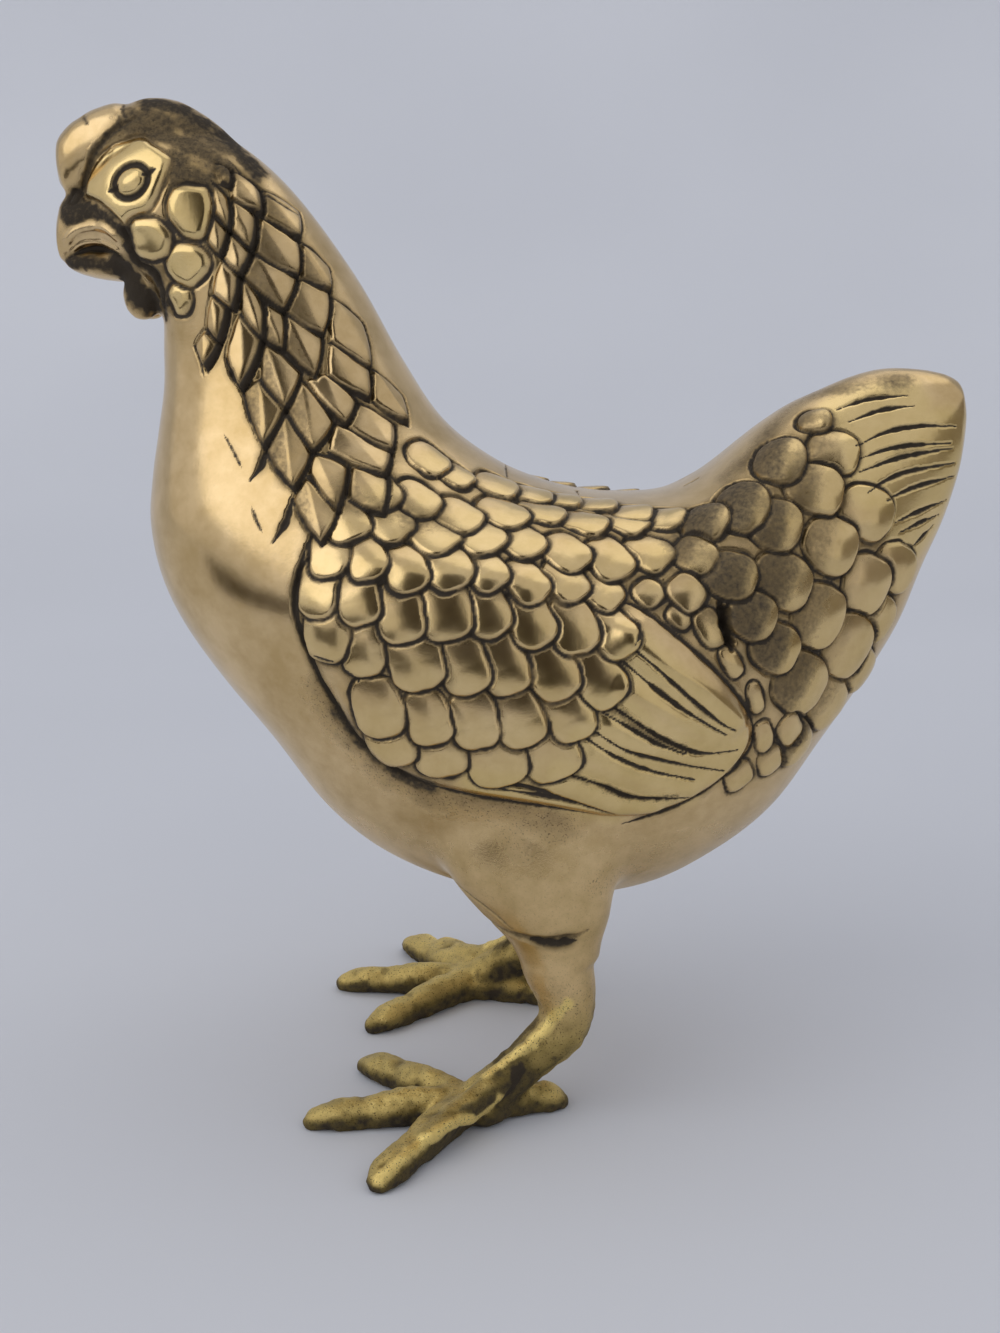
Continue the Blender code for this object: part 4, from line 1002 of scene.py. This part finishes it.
def cap(bm, planes):
    """Closes the cut edges, plane by plane, with a straight edge where two cuts meet."""
    open_edges = [edge for edge in bm.edges if edge.is_boundary]
    groups, taken = [], set()
    for place, normal in planes:
        place, normal = Vector(place), Vector(normal).normalized()
        groups.append([
            edge for edge in open_edges
            if edge not in taken and all(abs((vert.co - place) @ normal) < FLAT for vert in edge.verts)
        ])
        taken.update(groups[-1])
    for first, second in itertools.combinations(groups, 2):
        corners = {v for edge in first for v in edge.verts} & {v for edge in second for v in edge.verts}
        if len(corners) == 2:
            joint = bm.edges.new(tuple(corners))
            first.append(joint)
            second.append(joint)
    filled = [bmesh.ops.holes_fill(bm, edges=group, sides=0)["faces"] for group in groups]
    return sum(filled, [])


def make_piece(name, meshes, cuts, node, slot):
    """One closed piece out of one half or both, cut by planes, standing for a CAD node."""
    bm = bmesh.new()
    for mesh in meshes:
        bm.from_mesh(mesh)
    whole = len(meshes) > 1
    if whole:
        seam = [vert for vert in bm.verts if vert.co.y == 0.0]
        bmesh.ops.remove_doubles(bm, verts=seam, dist=1e-4)
    flag = bm.faces.layers.int.new("cap")
    for plane in cuts:
        cut(bm, *plane)
    caps = cap(bm, cuts if whole else (*cuts, MIDDLE))
    bmesh.ops.recalc_face_normals(bm, faces=bm.faces)
    for face in caps:
        face[flag] = 1
    loose = [edge for edge in bm.edges if not edge.link_faces]
    bmesh.ops.delete(bm, geom=loose, context="EDGES")
    mesh = bpy.data.meshes.new(name)
    bm.to_mesh(mesh)
    bm.free()
    set_normals(mesh)
    mesh.transform(Matrix.Diagonal((MM, MM, MM, 1.0)))
    mesh.materials.append(bpy.data.materials.get(slot + "_visual") or brass(slot + "_visual"))
    obj = bpy.data.objects.new(name, mesh)
    bpy.context.scene.collection.objects.link(obj)
    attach(obj, "root")
    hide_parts(node)


def set_normals(mesh):
    """Shades the piece with the normals of the whole skin, so that no cut shows."""
    mesh.polygons.foreach_set("use_smooth", np.ones(len(mesh.polygons), bool))
    facing = read(mesh.attributes["facing"].data, "vector")
    normals = facing[read(mesh.loops, "vertex_index", 1, int)[:, 0]]
    for face in np.nonzero(read(mesh.attributes["cap"].data, "value", 1, int))[0]:
        polygon = mesh.polygons[face]
        normals[list(polygon.loop_indices)] = polygon.normal
    mesh.normals_split_custom_set(unit(normals).tolist())
    for name in ("facing", "cap"):
        mesh.attributes.remove(mesh.attributes[name])


# Materials
# The colour of patina in the hollows, and of the painted shade and dark reflections laid into the dark
# marks
PATINA_AND_SHADE = (0.050, 0.037, 0.023)
WORN_BRASS = (0.90, 0.70, 0.26)
# Polished, satin and raw brass: light and deep colour, roughness, pits, and where haze sets in
FINISHES = (
    ((0.79, 0.58, 0.31), (0.6, 0.42, 0.19), 0.21, 0.06, 0.18),
    ((0.77, 0.56, 0.28), (0.56, 0.4, 0.18), 0.34, 0.3, 0.12),
    ((0.64, 0.48, 0.17), (0.36, 0.27, 0.1), 0.4, 0.55, 0.02),
)
DIM = 0.42              # how bright hazed metal is, as a share of its deep colour
# Noises: (scale, detail, roughness)
PATCHES, CLOUDS, GRAIN = (190, 4, 0.65), (42, 5, 0.62), (900, 3, 0.6)
SPECKS, SCRATCHES, LUMPS = (2400, 2, 0.5), (700, 2, 0.5), (1400, 3, 0.7)
BLOOM, FLOOR_CLOUDS = (400, 3, 0.6), (2.2, 2, 0.5)


class Nodes:
    """Short ways to add linked shader nodes to a material."""

    def __init__(self, name):
        self.material = bpy.data.materials.new(name)
        self.material.use_nodes = True
        self.tree = self.material.node_tree
        self.shader = self.tree.nodes["Principled BSDF"]

    def feed(self, node, key, value):
        """Links a socket to an input of a node, or sets the input to a value."""
        if isinstance(value, bpy.types.NodeSocket):
            self.tree.links.new(value, node.inputs[key])
        else:
            node.inputs[key].default_value = value

    def finish(self, **inputs):
        """Feeds the shader itself and gives the material back."""
        for key, value in inputs.items():
            self.feed(self.shader, key.replace("_", " "), value)
        return self.material

    def add(self, kind, **inputs):
        node = self.tree.nodes.new("ShaderNode" + kind)
        for key, value in inputs.items():
            self.feed(node, key, value)
        return node

    def math(self, operation, *values, clamp=False):
        node = self.add("Math")
        node.operation, node.use_clamp = operation, clamp
        for i, value in enumerate(values):
            self.feed(node, i, value)
        return node.outputs[0]

    def ramp(self, value, *stops):
        node = self.add("ValToRGB")
        for element, (place, colour) in zip(node.color_ramp.elements, stops):
            element.position = place
            element.color = (*colour, 1.0) if isinstance(colour, tuple) else (colour, colour, colour, 1.0)
        self.feed(node, 0, value)
        return node.outputs[0]

    def noise(self, scale, detail, roughness, stretch=None):
        place = self.add("TexCoord").outputs["Object"]
        if stretch:
            place = self.add("Mapping", Vector=place, Scale=stretch).outputs[0]
        node = self.add("TexNoise", Vector=place, Scale=scale, Detail=detail, Roughness=roughness)
        return node.outputs[0]

    def mix(self, share, first, second):
        node = self.add("Mix")
        node.data_type = "RGBA"
        for key, value in ((0, share), (6, first), (7, second)):
            self.feed(node, key, (*value, 1.0) if isinstance(value, tuple) else value)
        return node.outputs[2]

    def staged_colour(self, stages, colours):
        return self.mix(stages[1], self.mix(stages[0], colours[0], colours[1]), colours[2])

    def staged_value(self, stages, values):
        first = self.math("MULTIPLY_ADD", stages[0], values[1] - values[0], values[0])
        return self.math("MULTIPLY_ADD", stages[1], values[2] - values[1], first)

    def attribute(self, name):
        node = self.add("Attribute")
        node.attribute_name = name
        return node.outputs["Fac"]


def brass(name):
    """Cast brass: clouded metal, patina in the grooves, painted shade and dark reflections where the skin
    is marked dark, pits and scratches, rougher towards the feet.
    """
    nodes = Nodes(name)
    plus, minus, times = (functools.partial(nodes.math, kind) for kind in ("ADD", "SUBTRACT", "MULTIPLY"))
    dark, haze, rough, cast, worn = map(nodes.attribute, ("dark", "haze", "rough", "cast", "worn"))
    stages = (nodes.math("MINIMUM", cast, 1.0), nodes.math("MAXIMUM", minus(cast, 1.0), 0.0))
    lights, deeps, polishes, pittings, wears = zip(*FINISHES)
    patch = nodes.noise(*PATCHES)
    cloud = plus(times(nodes.noise(*CLOUDS), 0.6), times(patch, 0.4))
    metals = [nodes.ramp(cloud, (0.36, deep), (0.60, light)) for light, deep in zip(lights, deeps)]
    metal = nodes.mix(worn, nodes.staged_colour(stages, metals), WORN_BRASS)
    dim = nodes.staged_colour(stages, [tuple(DIM * c for c in deep) for deep in deeps])
    pits = nodes.staged_value(stages, pittings)
    uneven = times(minus(nodes.noise(*GRAIN), 0.5), 0.6)
    # The dark marks: patina, painted shade and painted dark reflections.
    cover = nodes.ramp(plus(dark, uneven), (0.30, 0.0), (0.80, 1.0))
    veil = plus(haze, times(minus(patch, 0.5), 0.9))
    veil = minus(minus(veil, nodes.staged_value(stages, wears)), worn)
    shade = nodes.ramp(veil, (0.0, 0.0), (0.55, 1.0))
    tinted = nodes.mix(cover, nodes.mix(times(shade, 0.85), metal, dim), PATINA_AND_SHADE)
    specks = times(nodes.ramp(nodes.noise(*SPECKS), (0.60, 0.0), (0.68, 1.0)), plus(rough, pits))
    gloss = nodes.math("MULTIPLY_ADD", minus(cloud, 0.5), 0.16, nodes.staged_value(stages, polishes))
    gloss = plus(plus(gloss, times(shade, 0.10)), times(cover, 0.38))
    lumps = times(nodes.noise(*LUMPS), plus(rough, pits))
    scratches = nodes.noise(*SCRATCHES, stretch=(1.0, 1.0, 0.05))
    bump = nodes.add("Bump", Height=plus(lumps, times(scratches, 0.05)), Strength=0.6, Distance=0.0004)
    return nodes.finish(
        Base_Color=nodes.mix(times(specks, 0.7, clamp=True), tinted, PATINA_AND_SHADE),
        Metallic=minus(1.0, times(cover, 0.7)),
        Roughness=plus(gloss, times(rough, 0.18), clamp=True),
        Normal=bump.outputs[0],
    )


def steel(name):
    """Bright zinc-plated steel with a faint milky bloom."""
    nodes = Nodes(name)
    bloom = nodes.noise(*BLOOM)
    colour = nodes.ramp(bloom, (0.35, (0.46, 0.47, 0.48)), (0.65, (0.62, 0.63, 0.65)))
    gloss = nodes.ramp(bloom, (0.35, 0.30), (0.65, 0.42))
    return nodes.finish(Base_Color=colour, Roughness=gloss, Metallic=1.0)


# Studio, in metres
FLOOR_FRONT, FLOOR_BACK, FLOOR_HALF_WIDTH = -3.0, 0.55, 4.0
SWEEP, BACKDROP_TOP = 0.9, 3.2          # the radius of the bend, and how high the floor runs up behind it
# Dark boards: (name, centre, width and height, turn in degrees, colour)
BOARDS = (
    ("board_front", (0.02, -0.85, 0.60), (0.54, 1.0), 0.0, (0.060, 0.048, 0.036)),
    ("board_right", (1.5, -0.2, 0.3), (1.6, 0.7), 80.0, (0.34, 0.31, 0.27)),
    ("board_left", (-0.36, -0.31, 0.04), (0.50, 0.11), -49.0, (0.075, 0.06, 0.045)),
)
# Lamps: (name, place, height on the hen's axis that it aims at, diameter, watts)
LAMPS = (("key", (-1.5, -1.1, 1.5), 0.12, 2.4, 11.0), ("top", (0.4, 0.6, 2.1), 0.10, 2.2, 5.5))
SKY, SKY_STRENGTH = (0.74, 0.75, 0.79), 0.80
CAMERA_PLACE, CAMERA_TILT, LENS = (-0.004, -0.390, 0.195), 77.0, 43.0


def pale_floor():
    """A pale floor that runs up into the backdrop in one sweep."""
    profile = [(FLOOR_FRONT, 0.0), (FLOOR_BACK, 0.0)]
    for a in np.linspace(0.1, math.pi / 2, 20):
        profile.append((FLOOR_BACK + SWEEP * math.sin(a), SWEEP - SWEEP * math.cos(a)))
    profile += [(FLOOR_BACK + SWEEP, BACKDROP_TOP)]
    points = [(x, y, z) for x in (-FLOOR_HALF_WIDTH, FLOOR_HALF_WIDTH) for y, z in profile]
    count = len(profile)
    floor = mesh_object("floor", points, [(i, i + 1, i + 1 + count, i + count) for i in range(count - 1)])
    floor.data.shade_smooth()
    nodes = Nodes("pale_floor")
    tone = nodes.ramp(nodes.noise(*FLOOR_CLOUDS), (0.3, (0.64, 0.655, 0.70)), (0.7, (0.69, 0.705, 0.75)))
    floor.data.materials.append(nodes.finish(Base_Color=tone, Roughness=0.9))


def dark_board(name, place, size, degrees, colour):
    """A dark board that the brass reflects and the camera does not see."""
    half_width, half_height = size[0] / 2, size[1] / 2
    corners = [(x * half_width, 0, z * half_height) for x, z in ((-1, -1), (1, -1), (1, 1), (-1, 1))]
    board = mesh_object(name, corners, [(0, 1, 2, 3)])
    board.data.transform(Matrix.Translation(place) @ Matrix.Rotation(math.radians(degrees), 4, "Z"))
    board.data.materials.append(Nodes(name).finish(Base_Color=(*colour, 1.0), Roughness=0.9))
    board.visible_camera = False
    board.visible_diffuse = False
    board.visible_shadow = False


def lamp(name, place, aim, diameter, power):
    light = bpy.data.lights.new(name, "AREA")
    light.shape = "ELLIPSE"
    light.size = light.size_y = diameter
    light.energy = power
    obj = bpy.data.objects.new(name, light)
    obj.location = place
    obj.rotation_euler = (Vector((0, 0, aim)) - Vector(place)).to_track_quat("-Z", "Y").to_euler()
    bpy.context.scene.collection.objects.link(obj)


def studio():
    pale_floor()
    for board in BOARDS:
        dark_board(*board)
    for row in LAMPS:
        lamp(*row)
    world = bpy.data.worlds.new("studio")
    bpy.context.scene.world = world
    world.use_nodes = True
    background = world.node_tree.nodes["Background"]
    background.inputs["Color"].default_value = (*SKY, 1.0)
    background.inputs["Strength"].default_value = SKY_STRENGTH


def camera():
    """The photograph's view, tilted down 13 degrees from 390 mm in front of the middle plane."""
    data = bpy.data.cameras.new("camera")
    data.lens = LENS
    data.sensor_width = 36.0
    data.sensor_fit = "AUTO"
    data.clip_start = 0.01
    obj = bpy.data.objects.new("camera", data)
    obj.location = CAMERA_PLACE
    obj.rotation_euler = (math.radians(CAMERA_TILT), 0.0, 0.0)
    bpy.context.scene.collection.objects.link(obj)
    bpy.context.scene.camera = obj


def dress():
    skin = base_skin()
    hen = Relief(skin.data)
    raise_wing(hen)
    hen.settle(skin.data)
    roughen_legs(hen)
    work_legs(hen)
    work_plumage(hen)
    work_head(hen)
    hen.height += 0.02 * noise(hen.points, 2.0, 3) * (0.3 + hen.rough * 3.0)
    right = mirrored(finished_half(skin, hen))
    stroke(hen, SLIT, 2.0, 4.0, taper=0.1, thin=0.6)
    left = finished_half(skin, hen)
    up, down = (0.0, 0.0, 1.0), (0.0, 0.0, -1.0)
    back, belly = (Vector(place) for place in TAIL_JOINT)
    rearward = (belly - back).cross(Vector((0.0, 1.0, 0.0))).normalized()
    for side, mesh in (("left", left), ("right", right)):
        for name, cuts, node, slot in (
            ("shell_", ((back, rearward), (THIGH_JOINT, down)), "body_", "polished_brass"),
            ("shank_", ((THIGH_JOINT, up), (FOOT_JOINT, down)), "leg_", "satin_brass"),
            ("claw_", ((FOOT_JOINT, up),), "foot_", "raw_brass"),
        ):
            make_piece(name + side, [mesh], cuts, node + side, slot)
    make_piece("tail_shell", [left, right], ((back, -rearward),), "tail", "tail_brass")
    bpy.data.objects.remove(skin)
    plated = steel("plated_steel")
    for name in ("leg_stud_left", "leg_stud_right"):
        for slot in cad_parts[name].material_slots:
            slot.material = plated


def main():
    dress()
    studio()
    camera()
    bpy.context.scene.view_settings.view_transform = "Standard"


main()
